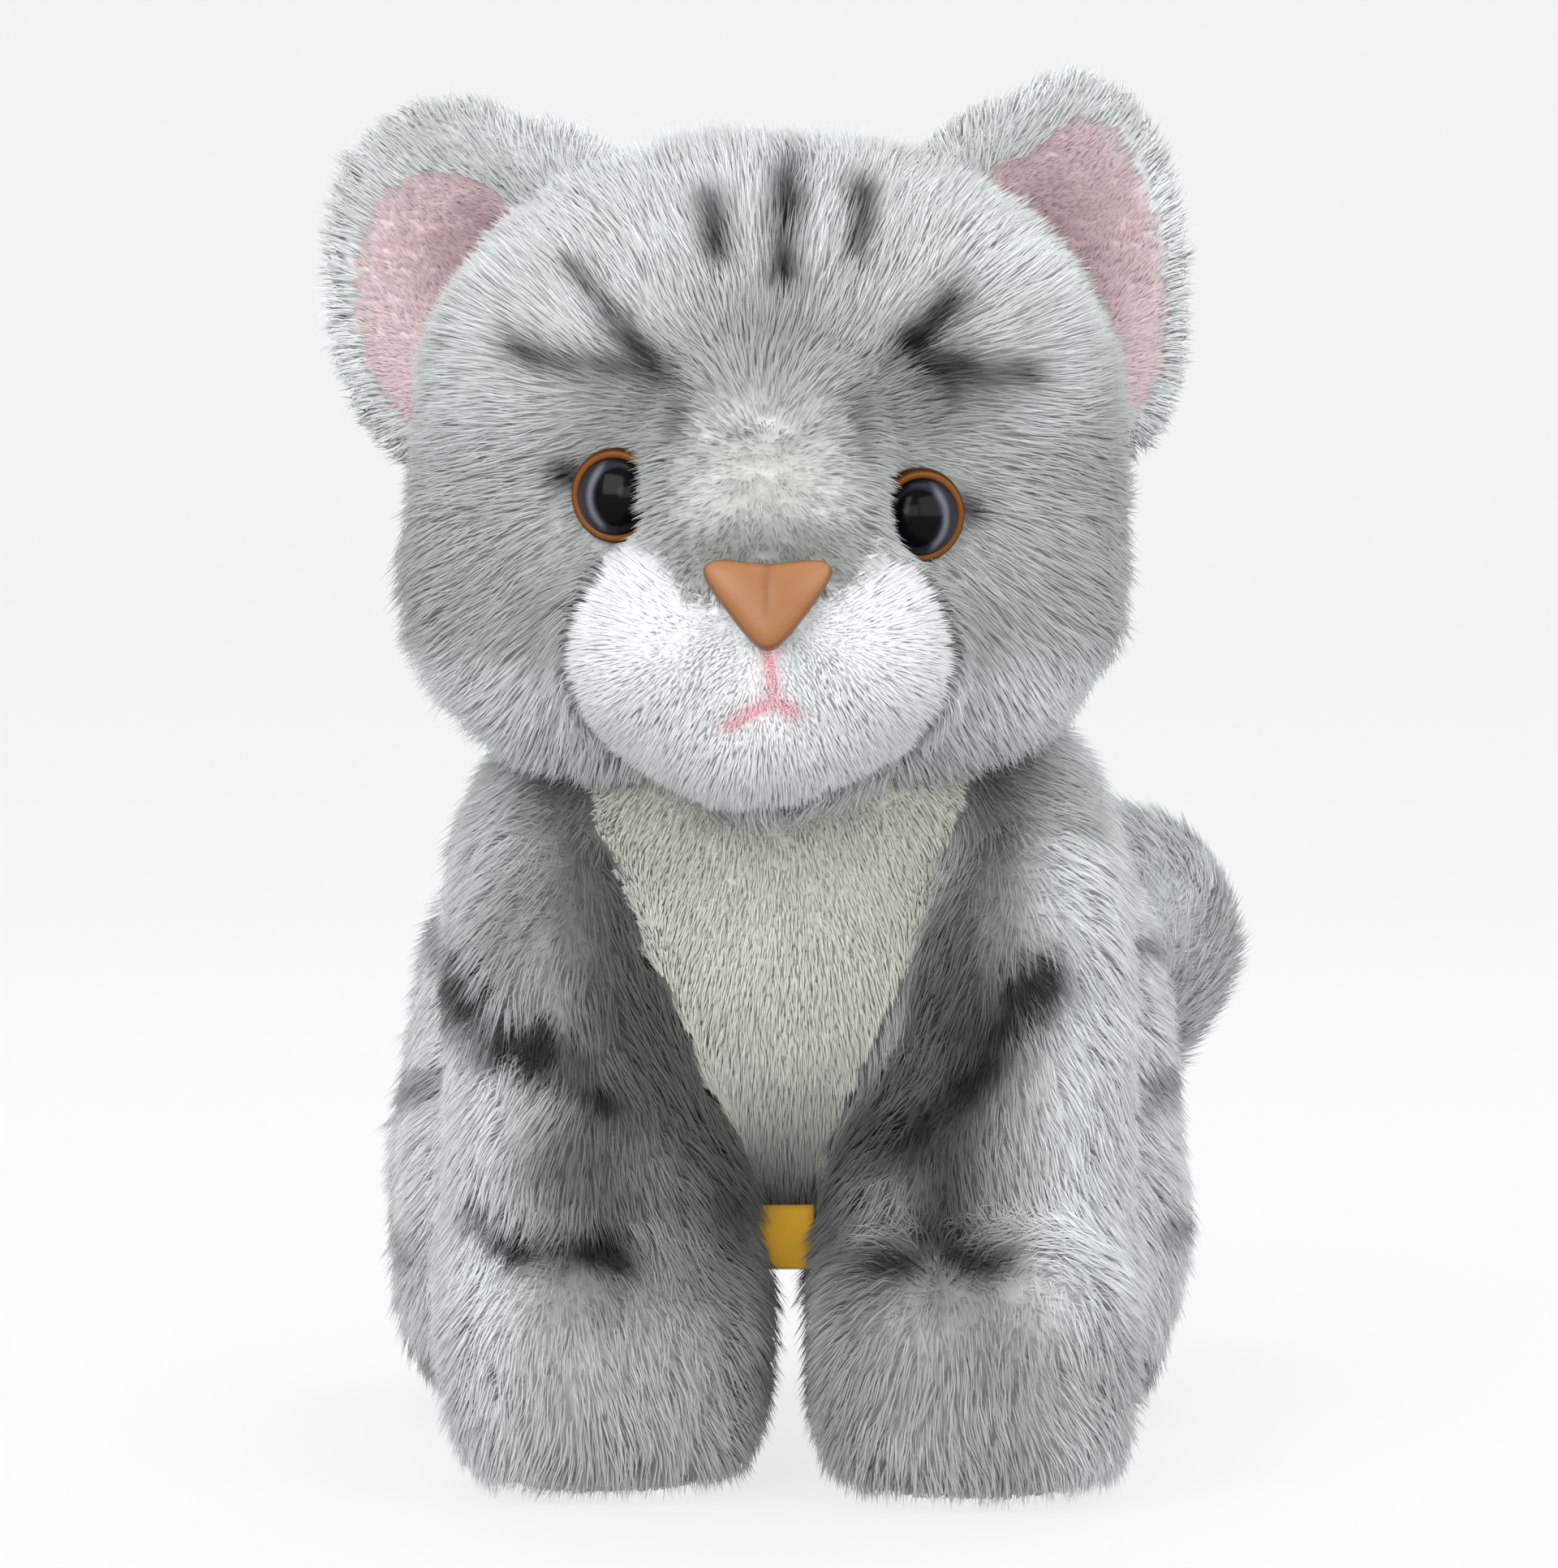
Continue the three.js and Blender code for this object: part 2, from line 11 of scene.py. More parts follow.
import bpy
import numpy as np
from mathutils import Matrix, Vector


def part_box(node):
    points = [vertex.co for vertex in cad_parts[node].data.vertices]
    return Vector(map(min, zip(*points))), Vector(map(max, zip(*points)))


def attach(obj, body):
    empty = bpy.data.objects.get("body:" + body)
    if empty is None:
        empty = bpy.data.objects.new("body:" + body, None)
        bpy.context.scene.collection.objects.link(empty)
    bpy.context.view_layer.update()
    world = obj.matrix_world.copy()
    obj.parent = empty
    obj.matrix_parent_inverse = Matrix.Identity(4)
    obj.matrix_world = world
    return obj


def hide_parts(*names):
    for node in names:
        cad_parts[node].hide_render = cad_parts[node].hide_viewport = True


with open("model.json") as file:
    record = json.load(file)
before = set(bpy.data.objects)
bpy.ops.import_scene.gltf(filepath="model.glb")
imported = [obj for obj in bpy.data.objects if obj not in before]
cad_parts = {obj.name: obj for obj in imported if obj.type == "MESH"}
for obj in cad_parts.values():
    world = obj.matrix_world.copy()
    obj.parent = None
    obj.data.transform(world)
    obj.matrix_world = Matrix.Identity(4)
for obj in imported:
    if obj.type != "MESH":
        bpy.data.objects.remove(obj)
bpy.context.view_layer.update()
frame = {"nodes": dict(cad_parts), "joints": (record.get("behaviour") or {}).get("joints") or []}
MM = 0.001
SIDES = {"left": 1, "right": -1}
DRAFT = 1.0  # share of the locks that a trial render makes

# ---------------------------------------------------------------- what the looks are driven by
PILE_LENGTH = {"head": 7.0, "muzzle": 3.0, "bib": 3.6, "body": 7.0, "leg": 7.5, "tail": 7.5}
EAR_PILE = 4.5
LINING_PILE = 1.9
LOCKS_PER_MM2 = 2.6
DENSITY = {"head": 1.15, "muzzle": 3.0, "bib": 2.6, "ear": 1.3, "lining": 3.2}  # times the usual density
LOCK_WIDTH = 0.235
BACKING_DEPTH = 2.0  # how far the pile's roots lie under the CAD skin
FLOOR_GAP = 0.35  # how far everything stays above the floor
EYE_RADIUS = 6.5
VIEW_HEIGHT = 210.9744  # the height that the camera takes in at the face
LENS_DISTANCE = 950  # from the camera to the face
LENS_RISE = math.radians(3)  # how far above the face's level the camera stands


def srgb(red, green, blue):
    """A colour as shown on a screen, 0 to 255, as linear light."""
    values = np.array([red, green, blue]) / 255
    return np.where(values <= 0.04045, values / 12.92, ((values + 0.055) / 1.055) ** 2.4)


PALE = srgb(226, 231, 231)
SILVER = srgb(196, 200, 198)
SMOKE = srgb(142, 145, 142)
SLATE = srgb(98, 100, 97)
DARK = srgb(14, 14, 13)
WARMTH = np.array([1.02, 1.0, 0.95])
WHITE = srgb(252, 253, 253)
CREAM = srgb(206, 211, 199)
PINK = srgb(232, 210, 213)
BLUSH = srgb(226, 172, 184)
# A greyer pink, mixed a little into the whole lining and painted as shade in the ear's fold.
FOLD_SHADE_PINK = srgb(172, 144, 147)


# ---------------------------------------------------------------- measures from the CAD, in millimetres
def cad_box(*nodes):
    """The lowest and the highest corner of the box round some CAD nodes."""
    corners = [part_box(node) for node in nodes]
    low = np.min([np.array(c[0]) for c in corners], axis=0) / MM
    high = np.max([np.array(c[1]) for c in corners], axis=0) / MM
    return low, high


def joint(name):
    """A hinge's point and axis."""
    found = next(j for j in frame["joints"] if j["name"] == name)
    return np.array(found["pos_m"]) / MM, np.array(found["axis"], float)


def head_measures():
    """The head's centre and radii, without the muzzle."""
    side_low, side_high = cad_box("head_side_left", "head_side_right")
    top = cad_box("head_gusset")[1]
    radii = np.array([side_high[0] - side_low[0], top[1] - side_low[1], top[2] - side_low[2]]) / 2
    centre = np.array([(side_high[0] + side_low[0]) / 2, top[1] - radii[1], top[2] - radii[2]])
    return centre, radii


HEAD, HEAD_RADII = head_measures()
TORSO_LOW, TORSO_HIGH = cad_box("body_side_left", "body_side_right", "belly_panel")
CHEST_LOW = cad_box("chest_panel")[0]
NECK = np.mean(cad_box("neck_stuffing"), axis=0)
NOSE_LOW, NOSE_HIGH = cad_box("nose")
NOSE = np.array([(NOSE_LOW[0] + NOSE_HIGH[0]) / 2, NOSE_LOW[1], (NOSE_LOW[2] + NOSE_HIGH[2]) / 2])
MOUTH_LOW = cad_box("mouth_thread")[0]
LEGS = ("front_leg_left", "front_leg_right", "hind_leg_left", "hind_leg_right")


# ---------------------------------------------------------------- soft forms
def unit(vectors):
    return vectors / np.maximum(np.linalg.norm(vectors, axis=-1, keepdims=True), 1e-9)


class Form:
    """A solid with three radii. roundness 2 is an ellipsoid, and more is boxier."""

    def __init__(self, centre, radii, roundness=2.0):
        self.centre = np.array(centre, float)
        self.radii = np.array(radii, float)
        self.roundness = roundness

    def distance(self, points):
        """About how far each point is outside the form, to first order."""
        q = np.abs(points - self.centre) / self.radii
        size = np.maximum((q**self.roundness).sum(1), 1e-9) ** (1 / self.roundness)
        slope = (q / size[:, None]) ** (self.roundness - 1) / self.radii
        return (size - 1) / np.maximum(np.linalg.norm(slope, axis=1), 1e-6)


class Blend:
    """Several forms as one surface, with fillets about as wide as reach where they meet."""

    def __init__(self, forms, reach):
        self.forms = forms
        self.reach = reach
        self.low = np.min([f.centre - f.radii for f in forms], axis=0) - reach / 2 - 1
        self.high = np.max([f.centre + f.radii for f in forms], axis=0) + reach / 2 + 1

    def distance(self, points):
        whole = self.forms[0].distance(points)
        for form in self.forms[1:]:
            other = form.distance(points)
            share = np.clip(0.5 + 0.5 * (whole - other) / self.reach, 0, 1)
            whole = whole * (1 - share) + other * share - self.reach * share * (1 - share)
        return whole


def normals_of(surface, points, step=0.4):
    slope = np.zeros_like(points)
    for axis in range(3):
        offset = np.zeros(3)
        offset[axis] = step
        slope[:, axis] = surface.distance(points + offset) - surface.distance(points - offset)
    return unit(slope)


# The head's forms: the middle from the head's centre, the radii and the roundness. A pair stands that far to
# each side of its middle.
HEAD_PAIRS = (
    (20, [-1, -4, -18], [26, 27, 22]),  # jowls
    (23, [0, -18, 14], [19, 17, 16]),  # brows
    (11.5, [-1, -39, -24], [13.5, 15.5, 13.5]),  # cheeks of the muzzle
)
HEAD_SINGLES = (
    ([-1, -37, -33], [14.5, 14.5, 11], 2.0),  # chin
    ([-1, -38, -27], [9, 15, 13], 2.0),  # lip below the nose
    ([0, -37, -5], [14.5, 18, 19], 2.6),  # bridge
)
SKULL_ROUNDNESS = 2.25


def head_forms():
    forms = [Form(HEAD, HEAD_RADII - BACKING_DEPTH, SKULL_ROUNDNESS)]
    for side in (1, -1):
        for apart, middle, radii in HEAD_PAIRS:
            forms.append(Form(HEAD + middle + [side * apart, 0, 0], radii))
    for middle, radii, roundness in HEAD_SINGLES:
        forms.append(Form(HEAD + middle, radii, roundness))
    return forms


# A leg's forms from the sole up: middle and radii as shares of the leg's box, counted from its inner, front,
# lower corner, and the roundness.
FRONT_LEG = (
    ([0.5, 0.47, 0.205], [0.47, 0.48, 0.205], 3.0),  # paw
    ([0.52, 0.5, 0.43], [0.45, 0.41, 0.3], 2.2),  # shin
    ([0.62, 0.56, 0.74], [0.36, 0.43, 0.31], 2.0),  # shoulder
)
HIND_LEG = (
    ([0.47, 0.43, 0.3], [0.43, 0.45, 0.3], 2.1),  # paw
    ([0.48, 0.56, 0.48], [0.425, 0.43, 0.44], 2.1),  # thigh
    ([0.44, 0.56, 0.72], [0.33, 0.33, 0.29], 2.0),  # hip
)
PAW_AHEAD = {"left": 0.12, "right": 0.03}  # how far a front paw stands ahead, as a share of the leg's depth


def leg_forms(name):
    low, high = cad_box(f"{name}_skin")
    size = high - low
    side = name.split("_")[-1]
    outward = SIDES[side]
    corner = np.array([low[0] if outward > 0 else high[0], low[1], low[2]])
    is_front = name.startswith("front")
    forms = []
    for place, radii, roundness in FRONT_LEG if is_front else HIND_LEG:
        ahead = PAW_AHEAD[side] if is_front and not forms else 0
        place = np.array(place) - [0, ahead, 0]
        radii = np.array(radii) + [0, ahead / 2, 0]
        forms.append(Form(corner + place * size * [outward, 1, 1], size * radii, roundness))
    return forms


def torso_forms():
    """The trunk, the chest, the ruff under the head and the two shoulders."""
    middle = (TORSO_LOW + TORSO_HIGH) / 2
    half = (TORSO_HIGH - TORSO_LOW) / 2
    forms = [
        Form(middle + [0, 1, 0], half - BACKING_DEPTH),
        Form([middle[0], NECK[1] + 7, NECK[2] - 20], [half[0] - 5, 33, 28]),
        Form(NECK + [0, -1, -2], [33, 25, 20]),
    ]
    for side in (1, -1):
        forms.append(Form([middle[0] + side * 24, NECK[1] + 12, NECK[2] - 14], [21, 27, 24]))
    return forms


def smooth_path(controls, count):
    """count points along a smooth curve through the controls (Catmull-Rom)."""
    controls = np.array(controls, float)
    padded = np.vstack([2 * controls[0] - controls[1], controls, 2 * controls[-1] - controls[-2]])
    made = []
    for t in np.linspace(0, len(controls) - 1, count):
        i = min(int(t), len(controls) - 2)
        a, b, c, d = padded[i : i + 4]
        s = t - i
        bend = 2 * a - 5 * b + 4 * c - d
        twist = 3 * b - a - 3 * c + d
        made.append(0.5 * (2 * b + (c - a) * s + bend * s**2 + twist * s**3))
    return np.array(made)


# The tail's middle line after its root, as shares of its box, and its radii as shares of the box's height.
TAIL_SHARES = (
    [0.3, 0.47, 0.25],
    [0.6, 0.63, 0.29],
    [0.8, 0.54, 0.53],
    [0.83, 0.43, 0.73],
    [0.73, 0.36, 0.79],
)
TAIL_THICKNESS = (0.17, 0.22, 0.26, 0.28, 0.265, 0.23)
TAIL_POINTS = 15


def tail_path():
    """The tail's middle line and its radius at each point, from the root."""
    low, high = cad_box("tail_skin")
    root, _ = joint("tail_swing")
    controls = np.vstack([root - [3, 4, -3], low + np.array(TAIL_SHARES) * (high - low)])
    thickness = (high[2] - low[2]) * np.array(TAIL_THICKNESS)
    line = smooth_path(controls, TAIL_POINTS)
    radii = smooth_path(thickness[:, None], TAIL_POINTS)[:, 0]
    return line, radii - BACKING_DEPTH


TAIL_LINE, TAIL_RADII = tail_path()
head = Blend(head_forms(), 7)
torso = Blend(torso_forms(), 12)
legs = {name: Blend(leg_forms(name), 9) for name in LEGS}
body = Blend(torso.forms + [form for leg in legs.values() for form in leg.forms], 9)
tail = Blend([Form(centre, [radius] * 3) for centre, radius in zip(TAIL_LINE, TAIL_RADII)], 4)


# ---------------------------------------------------------------- ears
class Ear:
    """A cupped slab. In its own frame a is outward along the hinge, b is up from it, and c is to the front.

    OUTLINES holds directions from the middle of the hinge, in degrees from a, and then the reach in each.
    LINED holds directions and the share of the reach that is lined in each.
    """

    HALF_THICK = 1.5
    FOOT = 9.0  # how far the slab goes on below the hinge
    CUP = 9.5
    BOWL = (2.0, 9.0)  # a and b of the deepest place
    BOX_HALF = 36  # half the side of a box that holds the whole ear
    OUTLINES = {
        "left": ([-30, -8, 15, 36, 66, 81, 92, 105, 123, 200], [27, 25, 23, 23, 27, 30, 32, 31, 25, 18]),
        "right": ([-20, 27, 48, 66, 85, 98, 114, 141, 200], [26, 27, 28.5, 31, 33, 32.5, 29, 22, 21]),
    }
    LINED = {
        "left": ([0, 60, 95, 120, 155], [0.87, 0.88, 0.83, 0.74, 0.68]),
        "right": ([10, 60, 80, 103, 140, 160], [0.86, 0.84, 0.8, 0.7, 0.52, 0.4]),
    }

    def __init__(self, side):
        self.origin, along = joint(f"ear_{side}_bend")
        self.along = along * np.sign(along[0]) * SIDES[side]
        middle = np.mean(cad_box(f"ear_back_{side}"), axis=0)
        rise = middle - self.origin
        self.up = unit(rise - (rise @ self.along) * self.along)
        front = np.cross(self.up, self.along)
        self.front = front * -np.sign(front[1])
        self.side = side
        self.outline = self.OUTLINES[side]
        self.lined = self.LINED[side]
        self.low = self.origin - self.BOX_HALF
        self.high = self.origin + self.BOX_HALF

    def local(self, points):
        offset = points - self.origin
        return offset @ self.along, offset @ self.up, offset @ self.front

    def row(self, a, b, c):
        return self.origin + np.outer(a, self.along) + np.outer(b, self.up) + np.outer(c, self.front)

    def by_turn(self, table, a, b):
        """A value that depends on the direction from the middle of the hinge."""
        turn = np.degrees(np.arctan2(b, a))
        return np.interp(np.where(turn < -90, turn + 360, turn), *table)

    def cup(self, a, b):
        """How far forward the slab's middle lies."""
        off = np.hypot(a - self.BOWL[0], 0.85 * (b - self.BOWL[1]))
        return 2.0 - self.CUP * np.exp(-((off / 12) ** 2))

    def share(self, a, b):
        return np.hypot(a, b) / self.by_turn(self.outline, a, b)

    def is_lined(self, a, b, c, margin=0.0):
        in_front = c > self.cup(a, b)
        return in_front & (self.share(a, b) < self.by_turn(self.lined, a, b) + margin)

    def distance(self, points):
        a, b, c = self.local(points)
        beyond = (self.share(a, b) - 1) * self.by_turn(self.outline, a, b) + self.HALF_THICK
        above = np.abs(c - self.cup(a, b)) * 0.85
        slab = np.hypot(np.maximum(beyond, 0), above) - self.HALF_THICK
        return np.maximum(slab, -b - self.FOOT)


ears = {side: Ear(side) for side in SIDES}


# ---------------------------------------------------------------- scattering roots
CLOUD_CHUNK = 400_000  # how many random points are tried at a time


def surface_points(surface, density, seed, shell=0.5):
    """Points spread evenly over a surface: those of a random cloud that fall close to it, moved onto it."""
    local = np.random.default_rng(seed)
    size = surface.high - surface.low
    wanted = int(density / (2 * shell) * np.prod(size))
    kept = []
    for start in range(0, wanted, CLOUD_CHUNK):
        cloud = surface.low + local.random((min(CLOUD_CHUNK, wanted - start), 3)) * size
        kept.append(cloud[np.abs(surface.distance(cloud)) < shell])
    points = np.concatenate(kept)
    for _ in range(3):
        points = points - surface.distance(points)[:, None] * normals_of(surface, points)
    return points


def scatter(surface, kind, seed):
    """The roots of one kind of pile over a surface."""
    return surface_points(surface, LOCKS_PER_MM2 * DENSITY.get(kind, 1.0) * DRAFT, seed)


def waves(points, size, seed, octaves=3):
    """Smooth noise from -1 to 1 whose features are about size millimetres."""
    local = np.random.default_rng(seed)
    total = np.zeros(len(points))
    for octave in range(octaves):
        for _ in range(5):
            direction = local.normal(size=3)
            direction *= 2.2 * 2**octave / size / np.linalg.norm(direction)
            total += np.sin(points @ direction + local.uniform(0, 2 * math.pi)) / 1.7**octave
    return np.clip(total / 4, -1, 1)


def wave_vectors(points, size, seed):
    return np.stack([waves(points, size, seed + axis) for axis in range(3)], axis=1)


def cell_means(values, points, size, seed):
    """Each row's mean over the locks that grow in the same small, crooked cell."""
    cells = np.floor(points / size + 0.9 * wave_vectors(points, size * 2.5, seed)).astype(int)
    _, cell = np.unique(cells, axis=0, return_inverse=True)
    cell = cell.reshape(-1)
    count = np.bincount(cell)
    sums = [np.bincount(cell, weights=values[:, k]) for k in range(values.shape[1])]
    return (np.stack(sums, axis=1) / count[:, None])[cell]


# ---------------------------------------------------------------- colours by place
def ease(values, low, high):
    """0 below low, 1 above high, and eased between them."""
    share = np.clip((values - low) / (high - low), 0, 1)
    return share * share * (3 - 2 * share)


def mix(first, second, share):
    """Two colours, or rows of colours, mixed by each row's share."""
    share = np.asarray(share)[:, None]
    return first * (1 - share) + second * share


def to_line(flat, line):
    """How far each flat point is from a line of x, z pairs."""
    nearest = np.full(len(flat), np.inf)
    for start, end in zip(line[:-1], line[1:]):
        along = end - start
        share = np.clip(((flat - start) @ along) / (along @ along), 0, 1)
        nearest = np.minimum(nearest, np.linalg.norm(flat - start - share[:, None] * along, axis=1))
    return nearest


def near_lines(points, lines):
    """How far each point is from the nearest of the lines, seen from the front."""
    return np.min([to_line(points[:, [0, 2]], line) for line in lines], axis=0)


def stroke(points, line, width, seed=0, wobble=0.9):
    """How strongly a brush stroke marks each point: 1 on the line of x, z pairs, fading past width."""
    bends = np.stack([waves(points, 7, seed), waves(points, 7, seed + 1)], axis=1)
    nearest = to_line(points[:, [0, 2]] + wobble * bends, np.array(line, float))
    return np.exp(-((nearest / width) ** 2)) * (0.92 + 0.25 * waves(points, 5, seed + 2))


def strokes(points, marks, seed, wobble=0.9):
    """The strongest of several marks at each point."""
    dark = np.zeros(len(points))
    for k, (line, width, strength) in enumerate(marks):
        dark = np.maximum(dark, strength * stroke(points, line, width, seed + 3 * k, wobble))
    return dark


def spot(x, z, half_x, half_z, power=2):
    """1 in the middle of a patch and falling off to each side, more steeply with a higher power."""
    return np.exp(-((x / half_x) ** power + (z / half_z) ** power))


# Each mark on the face: its line as x, z pairs from the head's centre, its half width and its strength.
FACE_MARKS = (
    ([(-7.5, 37.5), (-7.2, 32)], 2.8, 0.95),
    ([(2.4, 42), (2.4, 36), (2.6, 28)], 3.0, 1.0),
    ([(13, 39), (13, 31.5)], 2.6, 0.9),
    ([(-27, 29), (-22, 24)], 1.8, 0.75),
    ([(-22, 22), (-15.5, 13.5)], 2.6, 1.0),
    ([(-35, 17.5), (-28, 15.5), (-18, 14)], 2.4, 0.8),
    ([(25.5, 23.5), (20.5, 18)], 3.4, 1.0),
    ([(20.5, 18), (24.5, 12.5)], 3.1, 1.0),
    ([(26, 15), (31, 12), (37, 13)], 2.7, 0.9),
    ([(-13.5, 13), (-13.5, 5)], 1.4, 0.55),
    ([(13, 11), (13, 3)], 1.4, 0.55),
)


# Broad patches down the middle of the face: the height of the middle, the half width and height, the power of
# the falloff, how far in front of the head's centre they start, and the colour with its strength.
FACE_PATCHES = (
    (20, (13, 9), 2, 0, SMOKE, 0.75),  # forehead
    (-2, (13, 9), 4, 20, SILVER * WARMTH * 0.97, 0.92),  # bridge
    (7, (11, 6), 2, 20, SMOKE * WARMTH, 0.62),  # top of the bridge
    (-14, (14, 7), 4, 30, SMOKE * 0.8 * WARMTH, 0.85),  # above the nose
)
EYE_CORNERS = ([(-26.5, -1.5), (-29, -1)], [(26.5, -5), (29, -6)])


def head_colour(points):
    """Silver with dark dashes on the forehead and strokes at the brows, paler on the crown and the bridge."""
    p = points - HEAD
    x, y, z = p.T
    colour = mix(PALE, SILVER, 0.6 + 0.35 * waves(points, 13, 21))
    colour = mix(colour, PALE, 0.15 * ease(z, 22, 40))
    cheek = ease(np.abs(x), 13, 24) * ease(12 - z, 0, 16) * ease(z + 34, 0, 14) * ease(-y, -20, 10)
    colour = mix(colour, SMOKE, 0.42 * cheek)
    jaw = ease(-24 - z, 0, 8) * ease(-y, -10, 10)
    colour = mix(colour, PALE, 0.9 * jaw)
    brow = spot(np.abs(x) - 22, z - 11, 13, 9) * (y < 0) * np.where(x > 0, 1.0, 0.84)
    colour = mix(colour, SMOKE * 0.65, brow * (0.8 + 0.2 * waves(points, 8, 23)))
    for middle, halves, power, ahead, patch, strength in FACE_PATCHES:
        colour = mix(colour, patch, strength * spot(x, z - middle, *halves, power) * (y < -ahead))
    colour = mix(colour, DARK, strokes(p, FACE_MARKS, seed=10) * ease(-y, -8, 8))
    corners = stroke(p, EYE_CORNERS[0], 2.4) + stroke(p, EYE_CORNERS[1], 2.4)
    return mix(colour, DARK, np.clip(corners, 0, 1) * ease(-y, 10, 20))


def muzzle_colour(points):
    """White, with a blush of pink along the mouth."""
    colour = mix(WHITE, PALE, 0.5 + 0.1 * waves(points, 9, 31))
    blush = np.exp(-((near_lines(points, mouth_lines()) / 1.3) ** 2))
    return mix(colour, BLUSH, 0.75 * blush)


def bib_colour(points):
    """Cream, darker towards its lower tip, as painted shade where it runs down between the front legs."""
    # Painted shade towards the bib's lower tip.
    shade = ease(CHEST_LOW[2] + 22 - points[:, 2], 0, 22)
    colour = mix(CREAM, WHITE, 0.1 + 0.08 * waves(points, 12, 33))
    return mix(colour, CREAM * 0.55, 0.6 * shade)


def bib_half(z):
    """Half the bib's width at each height."""
    heights = CHEST_LOW[2] + np.array([-2, 10, 23, 36, 54, 64])
    return np.interp(z, heights, [2, 8, 14, 20.5, 25, 26])


def painted_shade_beside_bib(points):
    """1 in the band of painted shade that runs down each side of the bib, where the chest meets the front
    legs, and 0 away from it.
    """
    x, y, z = points.T
    off = np.abs(x - NECK[0]) - bib_half(z)
    band = np.exp(-(((off - 4.5) / 9) ** 2)) * ease(z, 36, 50) * ease(-y, 10, 30)
    strength = np.where(x < NECK[0], 1.25, 0.78)
    return np.clip(band * (strength + 0.3 * waves(points, 9, 43)), 0, 0.97)


def body_colour(points):
    """The torso's sides: silver, with painted shade beside the bib, with bands over the back."""
    x, y, z = (points - [NECK[0], 0, 0]).T
    colour = mix(PALE, SILVER, 0.5 + 0.45 * waves(points, 15, 41))
    # Painted shade beside the bib, where the chest meets the front legs.
    colour = mix(colour, SLATE * 0.8, painted_shade_beside_bib(points))
    shoulder = spot(x + 30, z - 89, 7, 8) * ease(-y, 10, 30)
    colour = mix(colour, SMOKE * 0.85, 0.7 * shoulder)
    bands = ease(np.sin((y + 0.35 * z + 5 * waves(points, 22, 45)) / 3.9), 0.45, 0.95)
    back = ease(y, -14, 0) * ease(z, 58, 80)
    return mix(colour, DARK, 0.72 * bands * back * (0.7 + 0.3 * waves(points, 7, 46)))


# The dark bands of the front legs, as lines of x, z pairs in the row frame with a half width and a strength.
LEG_BANDS = (
    ([(-51, 70), (-42, 63), (-33, 60)], 4.6, 1.0),
    ([(-33, 60), (-27, 54)], 3.0, 0.65),
    ([(34, 72), (29, 68), (25, 60)], 5.4, 0.9),
    ([(25, 60), (20, 55), (13, 50)], 4.2, 1.0),
    ([(-45, 37.5), (-34, 35), (-24, 35.5)], 2.4, 0.85),
    ([(8, 33.5), (18, 35), (30, 34.5)], 2.5, 0.85),
)


# Soft patches on the front legs: the middle's x and z, the half width and height, the colour and its share.
LEG_PATCHES = (
    (-40, 79, 9, 12, SMOKE * 0.88, 0.75),
    (-31, 46, 9, 8, SLATE * 0.75, 0.8),
    (25, 84, 8, 8, SMOKE, 0.4),
    (33, 17, 17, 12, SMOKE * 0.9, 0.45),
)


def leg_colour(points):
    """Mid grey on the front, pale at the outer side, with dark bands across the front and round the back."""
    low, high = cad_box("front_leg_left_skin")
    x, y, z = points.T
    middle = NECK[0]
    out = (np.abs(x - middle) - low[0] + middle) / (high[0] - low[0])
    front = ease(8 - y, 0, 20)
    colour = mix(SILVER, SMOKE, 0.45 + 0.4 * waves(points, 10, 51))
    shin = ease(0.72 - out, 0, 0.35) * ease(z, 20, 38) * ease(88 - z, 0, 20)
    colour = mix(colour, SLATE * 0.75, 0.95 * shin * front * (0.85 + 0.3 * waves(points, 9, 52)))
    # Painted shade beside the bib, where the leg meets the chest.
    colour = mix(colour, SLATE * 0.8, painted_shade_beside_bib(points))
    colour = mix(colour, PALE, ease(out, 0.6, 0.92))
    toes = ease(30 - z, 0, 14) * (0.5 + 0.5 * waves(points, 8, 53))
    colour = mix(colour, SILVER * 0.85, 0.6 * toes)
    for middle_x, middle_z, half_x, half_z, patch, strength in LEG_PATCHES:
        colour = mix(colour, patch, strength * spot(x - middle_x, z - middle_z, half_x, half_z) * front)
    dark = strokes(points, LEG_BANDS, seed=60, wobble=1.8) * (0.95 + 0.35 * waves(points, 4, 59))
    behind = ease(y, 5, 20)
    hind_bands = ease(np.sin((z + 4 * waves(points, 20, 57)) / 3.4), 0.5, 0.95) * behind
    colour = mix(colour, PALE, 0.5 * behind)
    return mix(colour, DARK, np.clip(1.25 * dark * (1 - behind) + 0.5 * hind_bands, 0, 0.97))


def tail_colour(points):
    """Pale silver with faint darker rings."""
    steps = np.linalg.norm(points[:, None] - TAIL_LINE[None], axis=2).argmin(1)
    rings = ease(np.sin(steps * 1.3 + 1.5 * waves(points, 12, 71)), 0.55, 0.95)
    colour = mix(PALE, SILVER, 0.2 + 0.3 * waves(points, 10, 72))
    return mix(colour, SMOKE, 0.3 * rings)


def ear_colour(points):
    return mix(PALE, SILVER, 0.6 + 0.35 * waves(points, 9, 81))


def lining_colour(points):
    """Pale pink, with a greyer pink painted in the hollow as painted shade where the ear is folded."""
    fold_shade = np.zeros(len(points))
    for ear in ears.values():
        a, b, _ = ear.local(points)
        off = np.hypot(a - ear.BOWL[0], 0.7 * (b - ear.BOWL[1]))
        fold_shade = np.maximum(fold_shade, np.exp(-((off / 9) ** 2)))
    # The greyer pink in the fold is painted shade.
    return mix(PINK, FOLD_SHADE_PINK, np.clip(0.14 + 0.1 * waves(points, 8, 83) + 0.85 * fold_shade, 0, 1))


